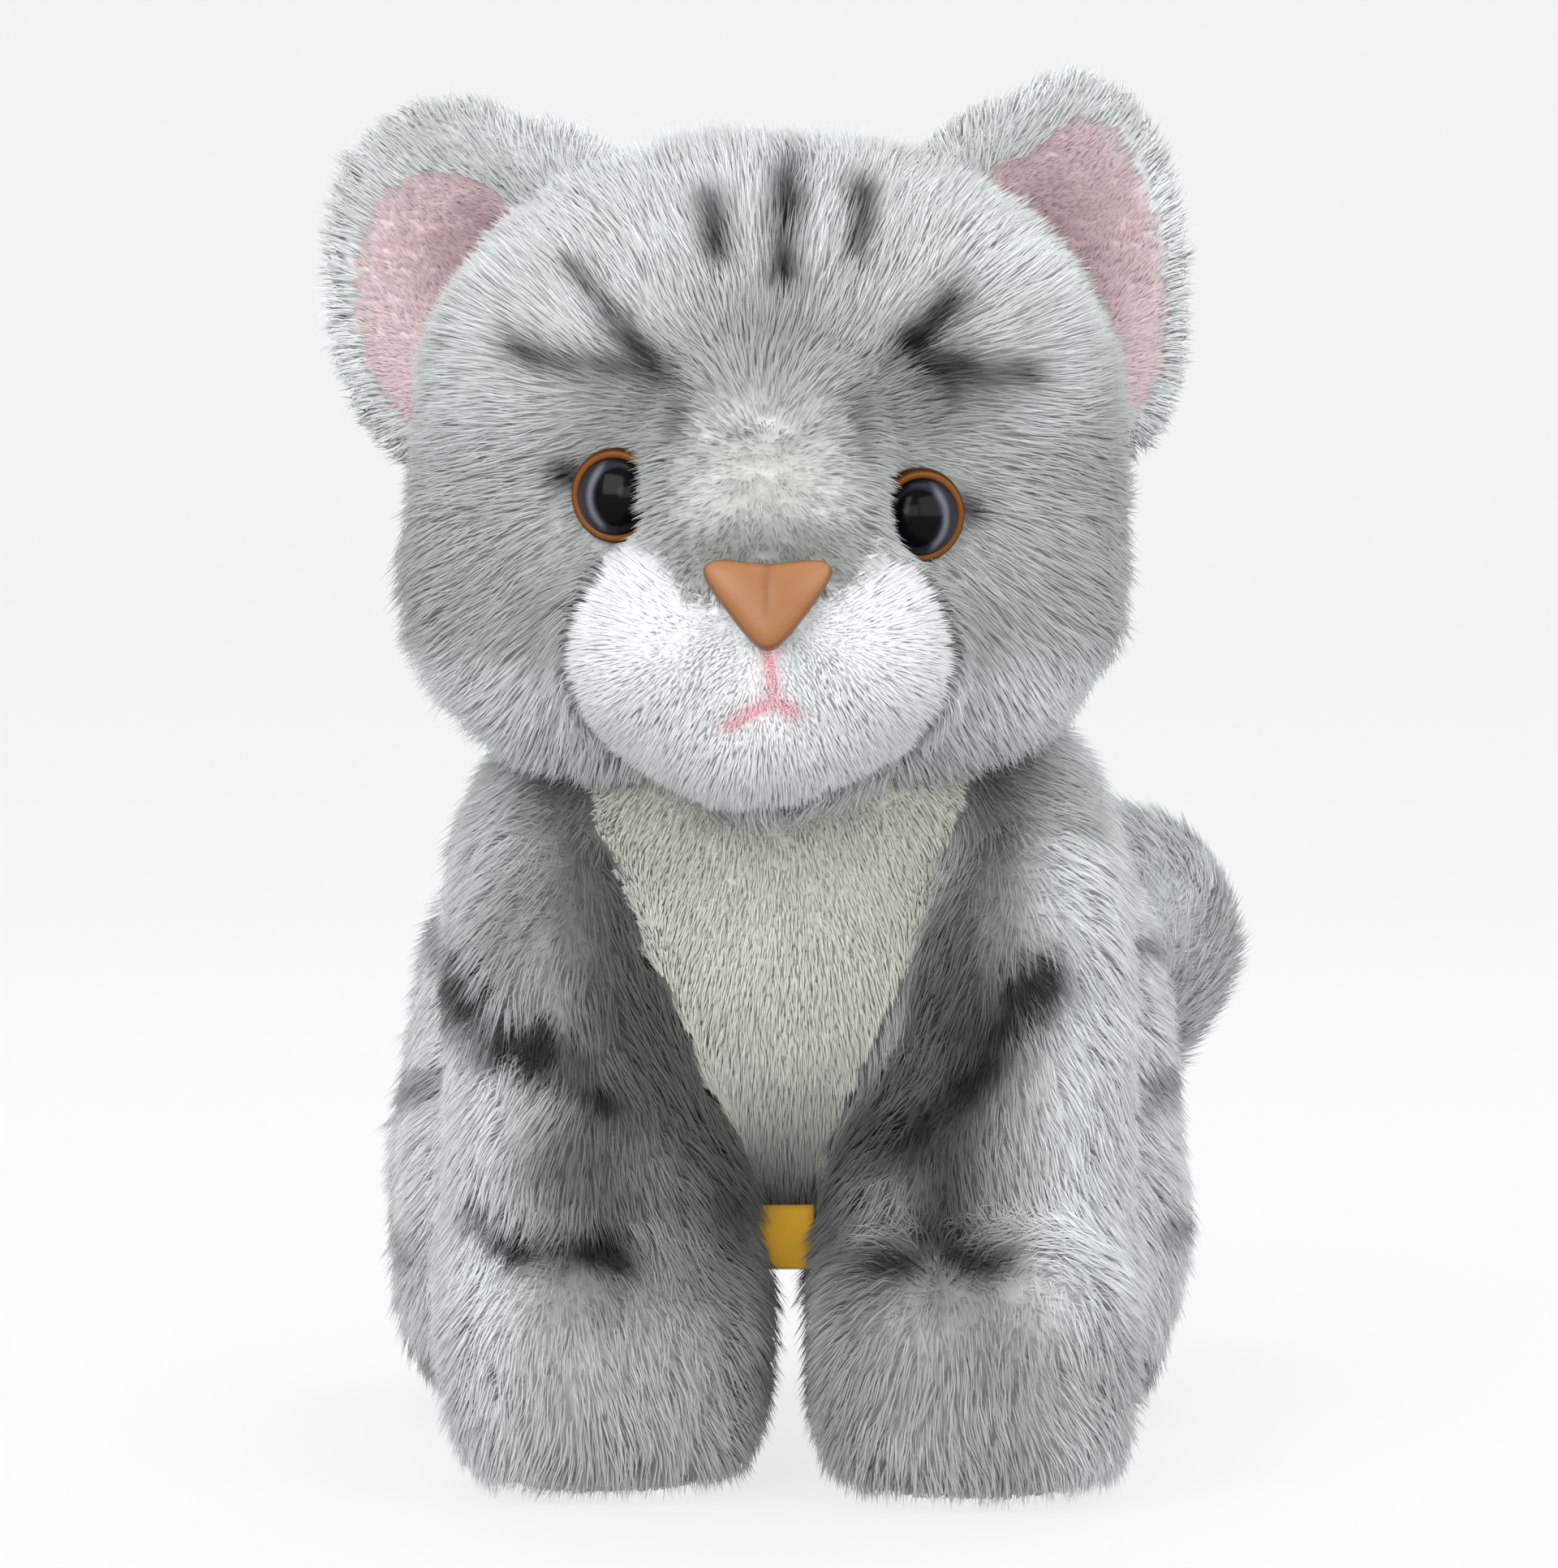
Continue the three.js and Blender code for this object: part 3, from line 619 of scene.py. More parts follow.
def ear_backing_colour(points):
    """The lining's pink where the ear is lined, and the pile's grey elsewhere."""
    lined = np.zeros(len(points))
    for ear in ears.values():
        lined = np.maximum(lined, ear.is_lined(*ear.local(points)))
    return mix(ear_colour(points), lining_colour(points), lined)


MUZZLE_MIDDLE = np.array([-1.4, -24.5])  # x, z from the head's centre
MUZZLE_HALVES = np.array([24.5, 18.5])


def in_muzzle(points):
    """How far inside the white muzzle each point is: under 1 inside, over 1 outside."""
    offset = (points - HEAD)[:, [0, 2]] - MUZZLE_MIDDLE
    return np.hypot(*(offset / MUZZLE_HALVES).T)


def head_backing_colour(points):
    """White under the muzzle's pile, and the head's colours elsewhere."""
    white, _, _ = face_regions(points)
    return mix(head_colour(points), muzzle_colour(points), white)


def torso_backing_colour(points):
    """Cream under the bib's pile, and the body's colours elsewhere."""
    cream = (np.abs(points[:, 0] - NECK[0]) < bib_half(points[:, 2])) & (points[:, 1] < NECK[1] + 8)
    return mix(body_colour(points), bib_colour(points), cream)


# ---------------------------------------------------------------- materials
def new_material(name, roughness, sheen=0.0):
    made = bpy.data.materials.new(name)
    made.use_nodes = True
    surface = made.node_tree.nodes["Principled BSDF"]
    surface.inputs["Roughness"].default_value = roughness
    surface.inputs["Specular IOR Level"].default_value = 0.25
    surface.inputs["Sheen Weight"].default_value = sheen
    surface.inputs["Sheen Roughness"].default_value = 0.5
    return made, made.node_tree.nodes, made.node_tree.links, surface


def add_grain(material, scale, detail):
    """Noise that stays with the object, as a socket that gives its strength."""
    nodes, links = material.node_tree.nodes, material.node_tree.links
    place = nodes.new("ShaderNodeTexCoord")
    grain = nodes.new("ShaderNodeTexNoise")
    grain.inputs["Scale"].default_value = scale
    grain.inputs["Detail"].default_value = detail
    links.new(place.outputs["Object"], grain.inputs["Vector"])
    return grain.outputs["Fac"]


def tinted_material(name, roughness, sheen, patch_scale, variation):
    """A material that takes its colour from the mesh's own tint, varied a little from place to place."""
    made, nodes, links, surface = new_material(name, roughness, sheen)
    tint = nodes.new("ShaderNodeAttribute")
    tint.attribute_name = "tint"
    spread = nodes.new("ShaderNodeMapRange")
    spread.inputs["To Min"].default_value = 1 - variation
    spread.inputs["To Max"].default_value = 1 + variation
    vary = nodes.new("ShaderNodeVectorMath")
    vary.operation = "SCALE"
    links.new(add_grain(made, patch_scale, 3), spread.inputs["Value"])
    links.new(tint.outputs["Color"], vary.inputs[0])
    links.new(spread.outputs["Result"], vary.inputs["Scale"])
    links.new(vary.outputs["Vector"], surface.inputs["Base Color"])
    return made


def let_light_through(material, share):
    """Mixes in light that passes through, as fine fibres let it."""
    nodes, links = material.node_tree.nodes, material.node_tree.links
    surface = nodes["Principled BSDF"]
    through = nodes.new("ShaderNodeBsdfTranslucent")
    both = nodes.new("ShaderNodeMixShader")
    both.inputs["Fac"].default_value = share
    links.new(surface.inputs["Base Color"].links[0].from_socket, through.inputs["Color"])
    links.new(surface.outputs["BSDF"], both.inputs[1])
    links.new(through.outputs["BSDF"], both.inputs[2])
    links.new(both.outputs["Shader"], nodes["Material Output"].inputs["Surface"])


PILE_MATERIAL = tinted_material("pile", 0.8, 0.2, 260, 0.12)
let_light_through(PILE_MATERIAL, 0.42)
SKIN_MATERIAL = tinted_material("backing", 0.95, 0.0, 900, 0.3)


def glossy_material(name, roughness, gloss):
    made = tinted_material(name, roughness, 0.0, 500, 0.03)
    made.node_tree.nodes["Principled BSDF"].inputs["Specular IOR Level"].default_value = gloss
    return made


# ---------------------------------------------------------------- meshes
def add_mesh(name, points, faces, material, colours, smooth=True):
    """A mesh object from points in millimetres, with a tint for each point."""
    mesh = bpy.data.meshes.new(name)
    mesh.from_pydata((np.asarray(points) * MM).tolist(), [], faces)
    tint = mesh.color_attributes.new("tint", "FLOAT_COLOR", "POINT")
    values = np.ones((len(points), 4), np.float32)
    values[:, :3] = np.clip(colours, 0, 0.97)
    tint.data.foreach_set("color", values.reshape(-1))
    mesh.materials.append(material)
    if smooth:
        mesh.polygons.foreach_set("use_smooth", [True] * len(faces))
    made = bpy.data.objects.new(name, mesh)
    bpy.context.scene.collection.objects.link(made)
    return made


def stand_in(made, body_name, node):
    """Hangs a piece on its body, in the place of a CAD node."""
    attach(made, body_name)
    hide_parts(node)


def bisect(near, far, goes_on, rounds=24):
    """How far along each ray the place lies where goes_on turns false, between near and far."""
    for _ in range(rounds):
        middle = (near + far) / 2
        beyond = goes_on(middle)
        near, far = np.where(beyond, middle, near), np.where(beyond, far, middle)
    return near


LONGEST_RAY = 130.0
BACKING_PAINTED_SHADE = 0.92  # the backing is painted this much darker than the pile, as painted shade in the gaps between the locks


def star_skin(name, surface, centre, colour, detail=6):
    """A closed skin: a ball whose points are moved along their rays from the centre onto the surface."""
    bpy.ops.mesh.primitive_ico_sphere_add(subdivisions=detail, radius=1)
    ball = bpy.context.object
    rays = unit(np.array([v.co for v in ball.data.vertices]))
    faces = [tuple(p.vertices) for p in ball.data.polygons]
    bpy.data.objects.remove(ball)
    start, end = np.zeros(len(rays)), np.full(len(rays), LONGEST_RAY)
    reach = bisect(start, end, lambda at: surface.distance(centre + rays * at[:, None]) < 0, 22)
    points = centre + rays * reach[:, None]
    points[:, 2] = np.maximum(points[:, 2], FLOOR_GAP)
    # The backing's tint is darkened as painted shade under the pile.
    return add_mesh(name, points, faces, SKIN_MATERIAL, colour(points) * BACKING_PAINTED_SHADE)


def ring_faces(rings, around):
    """Faces between rings of points, all with the same count, and a fan at each end to one more point."""
    faces = []
    for ring in range(rings - 1):
        for k in range(around):
            a, b = ring * around + k, ring * around + (k + 1) % around
            faces.append((a, b, b + around, a + around))
    first, last = rings * around, rings * around + 1
    start = (rings - 1) * around
    for k in range(around):
        faces.append((first, (k + 1) % around, k))
        faces.append((last, start + k, start + (k + 1) % around))
    return faces


def rings_along(centres, across, upward, sizes, around):
    """A round ring of points about each centre."""
    turn = np.linspace(0, 2 * math.pi, around, endpoint=False)
    rings = []
    for centre, first, second, size in zip(centres, across, upward, sizes):
        rings.append(centre + (np.outer(np.cos(turn), first) + np.outer(np.sin(turn), second)) * size)
    return rings


def tube_skin(name, line, radii, colour, around=40, rings=60):
    """A closed skin round a line, with rounded ends."""
    steps = np.linspace(0, 1, rings)
    places = np.arange(len(line))
    at = steps * (len(line) - 1)
    centres = np.stack([np.interp(at, places, line[:, k]) for k in range(3)], axis=1)
    size = np.interp(at, places, radii)
    forward = unit(np.gradient(centres, axis=0))
    across = unit(np.cross(forward, [0, 0.4, 1]))
    upward = np.cross(forward, across)
    rounded = np.sqrt(1 - np.clip(np.abs(2 * steps - 1) * 1.02 - 0.02, 0, 0.9995) ** 8)
    points = rings_along(centres, across, upward, size * rounded, around)
    caps = [centres[0] - forward[0] * radii[0] * 0.4, centres[-1] + forward[-1] * radii[-1] * 0.5]
    points = np.vstack(points + caps)
    # The backing's tint is darkened as painted shade under the pile.
    return add_mesh(name, points, ring_faces(rings, around), SKIN_MATERIAL, colour(points) * BACKING_PAINTED_SHADE)


def ear_skin(name, ear, colour, around=72, rings=14):
    """The ear's slab as two cupped sheets that meet at the outline."""
    turn = (np.linspace(0, 2 * math.pi, around, endpoint=False) - 0.5 * math.pi + 0.01) * -SIDES[ear.side]
    reach = ear.by_turn(ear.outline, np.cos(turn), np.sin(turn))
    to_foot = ear.FOOT / np.maximum(-np.sin(turn), 1e-3)
    reach = np.where(np.sin(turn) < 0, np.minimum(reach, to_foot), reach)
    points = []
    for face, shares in ((1, np.linspace(0.06, 1, rings)), (-1, np.linspace(0.97, 0.06, rings))):
        for share in shares:
            a, b = np.cos(turn) * reach * share, np.sin(turn) * reach * share
            bulge = face * ear.HALF_THICK * math.sqrt(max(0, 1 - share**6))
            points.append(ear.row(a, b, ear.cup(a, b) + bulge))
    zero = np.zeros(1)
    for face in (1, -1):
        points.append(ear.row(zero, zero, ear.cup(zero, zero) + face * ear.HALF_THICK))
    points = np.vstack(points)
    # The backing's tint is darkened as painted shade under the pile.
    return add_mesh(name, points, ring_faces(2 * rings, around), SKIN_MATERIAL, colour(points) * BACKING_PAINTED_SHADE)


# ---------------------------------------------------------------- pile
LOCK_FACES = np.array([[0, 2, 1], [0, 3, 2], [0, 1, 3], [1, 2, 4], [2, 3, 4], [3, 1, 4]])
LOCK_MAP = np.array([[0.5, 0.06], [0.12, 0.45], [0.5, 0.52], [0.88, 0.45], [0.5, 0.94]])


class Style:
    """How a patch of pile is cut and combed. lean is from upright, in degrees, below and above the bend.

    clumping is how far tips gather within cells of that size, ruffle is how much the comb strays, and tips is
    how bright a lock's tip is. Even pile has little painted shade at its roots and little difference between
    locks.
    """

    def __init__(self, length, lean=(32, 66), clumping=0.3, cell=2.2, ruffle=0.22, **looks):
        self.length = length
        self.lean = lean
        self.clumping = clumping
        self.cell = cell
        self.ruffle = ruffle
        self.width = looks.get("width", LOCK_WIDTH)
        self.tips = looks.get("tips", 1.06)
        # roots darkens each lock's root as painted shade, standing in for the shade deep among the locks;
        # variety is a random difference between locks.
        self.roots, self.variety = (0.96, 0.02) if looks.get("even") else (0.86, 0.06)


def shape_locks(roots, normals, comb, cut, flat, style, seed):
    """The middle and the tip of each lock. cut and flat are its shares of the style's length and lean."""
    local = np.random.default_rng(seed)
    count = len(roots)
    length = style.length * cut * (1 + 0.15 * local.normal(size=count).clip(-2, 2))
    length = length * (1 + 0.12 * waves(roots, 7, seed + 5))
    stray = wave_vectors(roots, 9, seed + 10) + 0.5 * local.normal(size=(count, 3))
    comb = unit(comb) + style.ruffle * stray
    comb = unit(comb - (comb * normals).sum(1)[:, None] * normals)
    lift = 1 + 0.22 * waves(roots, 6, seed + 20) + 0.1 * local.normal(size=count)
    places = [roots]
    for lean in style.lean:
        angle = np.radians(np.clip(lean * lift * flat, 4, 84))[:, None]
        step = np.cos(angle) * normals + np.sin(angle) * comb
        places.append(places[-1] + step * (0.5 * length)[:, None])
    _, middle, tip = places
    gathered = cell_means(np.concatenate([middle, tip], axis=1), roots, style.cell, seed + 30)
    pull = style.clumping * (0.8 + 0.4 * local.random(count))[:, None]
    middle = middle + 0.45 * pull * (gathered[:, :3] - middle)
    tip = tip + pull * (gathered[:, 3:] - tip)
    return middle, tip


def lay_out_map(mesh, count):
    """Gives each lock a cell of its own on the texture map."""
    columns = math.ceil(math.sqrt(count))
    cell = np.stack([np.arange(count) % columns, np.arange(count) // columns], axis=1) / columns
    corners = cell[:, None, None] + LOCK_MAP[LOCK_FACES][None] / columns
    layer = mesh.uv_layers.new(name="OFBake")
    layer.data.foreach_set("uv", corners.reshape(-1).astype(np.float32))


def grow(name, surface, roots, comb, cut, style, colour, seed, flat=1.0):
    """One mesh of closed locks, each with a buried root, a three-sided waist and a tip.

    A lock takes its colour from the place where its outer half lies, so that marks stay where they are drawn.
    """
    local = np.random.default_rng(seed)
    count = len(roots)
    normals = normals_of(surface, roots)
    middle, tip = shape_locks(roots, normals, comb, cut, flat, style, seed)
    start = roots - 0.6 * normals
    for place in (start, middle, tip):
        place[:, 2] = np.maximum(place[:, 2], FLOOR_GAP)
    axis = unit(tip - start)
    across = unit(np.cross(axis, normals) + 1e-5)
    upward = np.cross(axis, across)
    spin = local.uniform(0, 2 * math.pi / 3, count)[:, None]
    width = style.width / math.sqrt(DRAFT) * (0.8 + 0.4 * local.random(count))[:, None]
    corners = np.zeros((count, 5, 3))
    corners[:, 0] = start
    corners[:, 4] = tip
    for side in range(3):
        angle = spin + side * 2 * math.pi / 3
        corners[:, 1 + side] = middle + (np.cos(angle) * across + np.sin(angle) * upward) * width / 2
    corners[:, :, 2] = np.maximum(corners[:, :, 2], FLOOR_GAP / 2)
    own = unit(corners - ((start + tip) / 2)[:, None])
    soft = unit(0.88 * normals[:, None] + 0.12 * own)
    each = (1 + style.variety * local.normal(size=count).clip(-2.5, 2.5))[:, None]
    waist = (style.roots + 1) / 2
    # Painted shade: style.roots darkens each lock at its root, and half as much at its waist, standing in for
    # the shade among the locks.
    shades = np.array([style.roots, waist, waist, waist, style.tips])[None, :, None]
    tints = (colour(0.4 * middle + 0.6 * tip) * each)[:, None] * shades
    faces = (np.arange(count)[:, None, None] * 5 + LOCK_FACES).reshape(-1, 3).tolist()
    made = add_mesh(name, corners.reshape(-1, 3), faces, PILE_MATERIAL, tints.reshape(-1, 3), smooth=False)
    lay_out_map(made.data, count)
    made.data.normals_split_custom_set_from_vertices(soft.reshape(-1, 3).tolist())
    return made


# ---------------------------------------------------------------- the head's pile
def near_eyes(points):
    """How far each point is outside the ball round the nearer eye."""
    nearest = np.full(len(points), 1e9)
    for side in SIDES:
        eye = np.mean(cad_box(f"eye_{side}"), axis=0)
        nearest = np.minimum(nearest, np.linalg.norm(points - eye, axis=1) - EYE_RADIUS)
    return nearest


def mouth_lines():
    """The mouth's embroidery as lines of x, z pairs: down from the nose, then out to each side."""
    join = np.array([NOSE[0] + 0.8, MOUTH_LOW[2] + 4.0])
    top = np.array([NOSE[0], NOSE_LOW[2] + 0.6])
    return [
        [top, (top + join) / 2 + [0.1, 0], join],
        [join, join + [-2.8, -1.4], join + [-6.0, -3.2]],
        [join, join + [1.4, -0.7], join + [2.8, -1.8]],
    ]


# The right half of the nose's outline, as x, z offsets from its middle, from the dip in its top to its tip.
NOSE_HALF = np.stack(
    [
        [0, 3, 6, 8, 8.6, 7.2, 5.2, 3, 1.2, 0],
        [5.3, 5.6, 5.9, 5.6, 4.3, 1.5, -1.3, -4.2, -6, -6.4],
    ],
    axis=1,
)


def nose_outline(count=64):
    """The nose's outline as x, z offsets from its middle, anticlockwise from its tip."""
    right = smooth_path(NOSE_HALF, count // 2 + 1)
    left = right[1:-1][::-1] * [-1, 1]
    return np.vstack([right[::-1], left[::-1]])


def nose_gap(points):
    """1 at about the nose's outline, less inside it and more outside."""
    x, _, z = (points - NOSE).T
    return np.hypot(x / 7.6, (z - 1.8) / 5.2)


def face_regions(roots):
    """Which roots are on the white muzzle, which on the bridge above the nose, and which are left bare."""
    x, y, z = (roots - HEAD).T
    wobble = 0.05 * waves(roots, 7, 5)
    in_front = y < -22
    muzzle = (in_muzzle(roots) < 1 + wobble) & in_front
    half_bridge = 14 - 0.5 * np.maximum(-z - 8, 0) + 10 * wobble
    bridge = (np.abs(x + 0.6) < half_bridge) & (z > -16.5 + 10 * wobble) & (z < 18) & in_front
    bare = (near_eyes(roots) < -0.8) & (y < 0)
    bare |= (nose_gap(roots) < 0.8) & (y < -40)
    return muzzle & ~bridge, bridge, bare


def grow_head():
    roots = scatter(head, "head", seed=2)
    x, y, z = (roots - HEAD).T
    white, in_bridge, bare = face_regions(roots)
    gusset = ~white & (np.abs(x) < 16)
    kept = (body.distance(roots) > -3) & ~bare
    on_bridge = ease(18 - np.hypot(x / 1.1, z + 3), 0, 8) * (y < -25)
    eye_share = np.maximum(ease(near_eyes(roots), -0.5, 7), 0.7 * in_bridge)
    crown = HEAD + [0, -HEAD_RADII[1] - 10, 5]
    comb = roots - crown
    comb[:, 2] += np.where(z < -6, -14, 0)
    cut = (0.42 + 0.58 * eye_share) * (1 - 0.38 * on_bridge) * (0.5 + 0.5 * ease(nose_gap(roots), 0.8, 2.0))
    flat = 1 - 0.62 * on_bridge
    parts = {"side_left": ~gusset & (x > 0), "side_right": ~gusset & (x <= 0), "gusset": gusset}
    style = Style(PILE_LENGTH["head"], clumping=0.24, ruffle=0.26)
    for k, (part, chosen) in enumerate(parts.items()):
        own = kept & ~white & chosen
        name = "pile_head_" + part.removeprefix("side_")
        made = grow(name, head, roots[own], comb[own], cut[own], style, head_colour, 100 + k, flat[own])
        stand_in(made, "head", f"head_{part}")
    grow_muzzle()


def grow_muzzle():
    roots = scatter(head, "muzzle", seed=3)
    white, _, bare = face_regions(roots)
    roots = roots[white & ~bare]
    comb = roots - [NOSE[0], NOSE[1] - 4, NOSE[2] - 3]
    comb[:, 2] -= 3
    cut = 0.55 + 0.45 * ease(near_lines(roots, mouth_lines()), 0.5, 5)
    cut *= 0.5 + 0.5 * ease(nose_gap(roots), 0.8, 1.6)
    cut *= 0.5 + 0.5 * ease(near_eyes(roots), 0, 5)
    looks = {"width": 0.25, "tips": 1.0, "even": True}
    style = Style(PILE_LENGTH["muzzle"], lean=(12, 34), clumping=0.1, cell=1.6, ruffle=0.16, **looks)
    made = grow("pile_muzzle", head, roots, comb, cut, style, muzzle_colour, 110)
    stand_in(made, "head", "muzzle_panel")


# ---------------------------------------------------------------- the body's pile
def body_regions(roots):
    """Which roots stand for each panel of the body, and which are on each leg."""
    x, y, z = roots.T
    to_legs = {name: leg.distance(roots) for name, leg in legs.items()}
    nearest_leg = np.min(list(to_legs.values()), axis=0)
    middle = NECK[0] - 0.5
    edge = 1.6 * waves(roots, 6, 8)
    inside_bib = (np.abs(x - middle) < bib_half(z) + edge) & (y < NECK[1] + 8)
    on_leg = (nearest_leg < torso.distance(roots) - 4 * inside_bib) & (z < 92)
    bib = ~on_leg & inside_bib & (normals_of(body, roots)[:, 1] < -0.1)
    belly = ~on_leg & ~bib & (np.abs(x - middle) < 19 + edge) & (z < CHEST_LOW[2] + 6)
    side = ~on_leg & ~bib & ~belly
    regions = {
        "chest_panel": bib,
        "belly_panel": belly,
        "body_side_left": side & (x > middle),
        "body_side_right": side & (x <= middle),
    }
    for name in LEGS:
        regions[name] = on_leg & (to_legs[name] <= nearest_leg)
    kept = (head.distance(roots) > -3) & (z > 1.4)
    return {name: kept & chosen for name, chosen in regions.items()}


def grow_body():
    roots = scatter(body, "body", seed=4)
    regions = body_regions(roots)
    style = Style(PILE_LENGTH["body"], tips=1.12)
    for k, side in enumerate(SIDES):
        own = roots[regions[f"body_side_{side}"]]
        forwards = ease(-own[:, 1], -5, 25)[:, None]
        comb = np.array([0, 0.75, -0.65]) * (1 - forwards) + np.array([0, 0.25, -1.0]) * forwards
        made = grow(f"pile_side_{side}", body, own, comb, np.ones(len(own)), style, body_colour, 120 + k)
        stand_in(made, "torso", f"body_side_{side}")
    for k, name in enumerate(LEGS):
        grow_leg(name, roots[regions[name]], 130 + k)
    grow_cream("belly", roots[regions["belly_panel"]], [0, 0.9, -0.2], 122)
    dense = scatter(body, "bib", seed=6)
    grow_cream("chest", dense[body_regions(dense)["chest_panel"]], [0, 0, -1.0], 123)


def grow_cream(name, roots, flow, seed):
    """The short, even pile of the bib or the belly, combed one way."""
    looks = {"width": 0.25, "tips": 1.0, "even": True}
    style = Style(PILE_LENGTH["bib"], lean=(12, 40), clumping=0.08, cell=1.8, ruffle=0.14, **looks)
    comb = np.tile(flow, (len(roots), 1))
    made = grow(f"pile_{name}", body, roots, comb, np.ones(len(roots)), style, bib_colour, seed)
    stand_in(made, "torso", f"{name}_panel")


def grow_leg(name, roots, seed):
    """A leg's pile is combed down, and out over the toes. Under the sole it is cut short."""
    low, _ = cad_box(f"{name}_skin")
    height = roots[:, 2] - low[2]
    normals = normals_of(body, roots)
    comb = np.array([0, 0.25, -1.0]) + 0.5 * normals * [1, 1, 0] * ease(30 - height, 0, 20)[:, None]
    cut = 0.3 + 0.7 * ease(height, 1, 9)
    cut *= 1 - 0.5 * ease(-normals[:, 2], 0.5, 0.9)
    style = Style(PILE_LENGTH["leg"], clumping=0.4, cell=2.8, ruffle=0.32, tips=1.18)
    made = grow(name.replace("leg", "leg_pile"), body, roots, comb, cut, style, leg_colour, seed)
    stand_in(made, name, f"{name}_skin")


def grow_tail():
    roots = scatter(tail, "tail", seed=5)
    roots = roots[body.distance(roots) > -2]
    nearest = np.linalg.norm(roots[:, None] - TAIL_LINE[None], axis=2).argmin(1)
    comb = unit(np.gradient(TAIL_LINE, axis=0))[nearest]
    style = Style(PILE_LENGTH["tail"], cell=3.0)
    made = grow("pile_tail", tail, roots, comb, np.ones(len(roots)), style, tail_colour, 140)
    stand_in(made, "tail", "tail_skin")


EAR_STYLE = Style(EAR_PILE, lean=(32, 62), cell=2.2, ruffle=0.25, width=0.26)
LINING_STYLE = Style(LINING_PILE, lean=(35, 55), clumping=0.3, cell=1.6, ruffle=0.25, width=0.18, tips=1.0)


def grow_ear(side, seed):
    """The ear's grey pile, and the short pink pile that lines its hollow."""
    ear = ears[side]
    for lined, (name, node) in enumerate((("pile_ear", "ear_back"), ("lining_ear", "ear_lining"))):
        roots = scatter(ear, "lining" if lined else "ear", seed + lined)
        a, b, c = ear.local(roots)
        overlap = 0.04 * lined
        own = (ear.is_lined(a, b, c, overlap) == bool(lined)) & (head.distance(roots) > 0.5)
        comb = ear.row(a, b + 6 + 4 * lined, np.zeros(len(a))) - ear.origin
        style = LINING_STYLE if lined else EAR_STYLE
        colour = lining_colour if lined else ear_colour
        cut = np.ones(own.sum())
        made = grow(f"{name}_{side}", ear, roots[own], comb[own], cut, style, colour, seed + 2 * lined)
        stand_in(made, f"ear_{side}", f"{node}_{side}")


def pad(skin, body_name):
    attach(skin, body_name)


def make_skins():
    """The woven backing that the pile grows from, closed round each stuffed part."""
    pad(star_skin("skin_head", head, HEAD + [0, -4, -2], head_backing_colour), "head")
    torso_middle = (TORSO_LOW + TORSO_HIGH) / 2 + [0, -4, 8]
    pad(star_skin("skin_torso", torso, torso_middle, torso_backing_colour), "torso")
    for name, leg in legs.items():
        middle = np.mean(cad_box(f"{name}_skin"), axis=0)
        pad(star_skin(f"skin_{name}", leg, middle, leg_colour, detail=5), name)
    pad(tube_skin("skin_tail", TAIL_LINE, TAIL_RADII, tail_colour), "tail")
    for side, ear in ears.items():
        pad(ear_skin(f"skin_ear_{side}", ear, ear_backing_colour), f"ear_{side}")


# ---------------------------------------------------------------- the pieces inside
def inner_material(name, colour, roughness, texture_scale, bump):
    """A plain colour that varies from place to place, with a bump at the same scale."""
    made, nodes, links, surface = new_material(name, roughness)
    grain = add_grain(made, texture_scale, 6)
    shades = nodes.new("ShaderNodeValToRGB")
    for element, shade in zip(shades.color_ramp.elements, (0.82, 1.0)):
        element.color = (*(colour * shade), 1)
    relief = nodes.new("ShaderNodeBump")
    relief.inputs["Distance"].default_value = bump * MM
    links.new(grain, shades.inputs["Fac"])
    links.new(shades.outputs["Color"], surface.inputs["Base Color"])
    links.new(grain, relief.inputs["Height"])
    links.new(relief.outputs["Normal"], surface.inputs["Normal"])
    return made


def dress_inner_pieces():
    """The CAD nodes that stay as they are: the filling, the pellet pouch and the washers."""
    fibre = inner_material("polyester fibre", srgb(236, 236, 230), 0.95, 700, 0.8)
    cloth = inner_material("pouch cloth", srgb(216, 208, 190), 0.9, 1800, 0.15)
    plastic = inner_material("washer plastic", srgb(228, 228, 226), 0.45, 400, 0.03)
    for name, node in frame["nodes"].items():
        chosen = plastic if name.endswith(("washer", "washer_left", "washer_right")) else None
        chosen = fibre if name.endswith("stuffing") else chosen
        chosen = cloth if name == "pellet_pouch" else chosen
        if chosen:
            node.data.materials.clear()
            node.data.materials.append(chosen)


# ---------------------------------------------------------------- eyes
def eye_frame(side):
    """The eye's middle on the skin and its own three directions: outward, across and up."""
    low, high = cad_box(f"eye_{side}")
    middle = (low + high) / 2
    outward = unit((middle - HEAD) / HEAD_RADII**2)
    across = unit(np.cross([0, 0, 1], outward))
    return middle, outward, across, np.cross(outward, across)


# The back and the collar of the eye as radius and height pairs, up to the edge of its dome.
EYE_BACK = [(2, -3.4), (5.8, -3.0), (6.5, -1.8), (6.55, -0.6)]
EYE_COLLAR = [(6.3, 0.1), (5.9, 0.35), (5.5, 0.3), (5.25, 0.1)]
DOME_RADIUS = 5.2
DOME_RISE = 3.3
EYE_LIFT = 1.3  # how far the whole eye stands out from the middle of its CAD node
AMBER = srgb(100, 58, 18)
RIM = srgb(52, 30, 12)
IRIS = srgb(30, 31, 37)
GLINT = srgb(88, 90, 100)
BLACK = srgb(3, 3, 4)


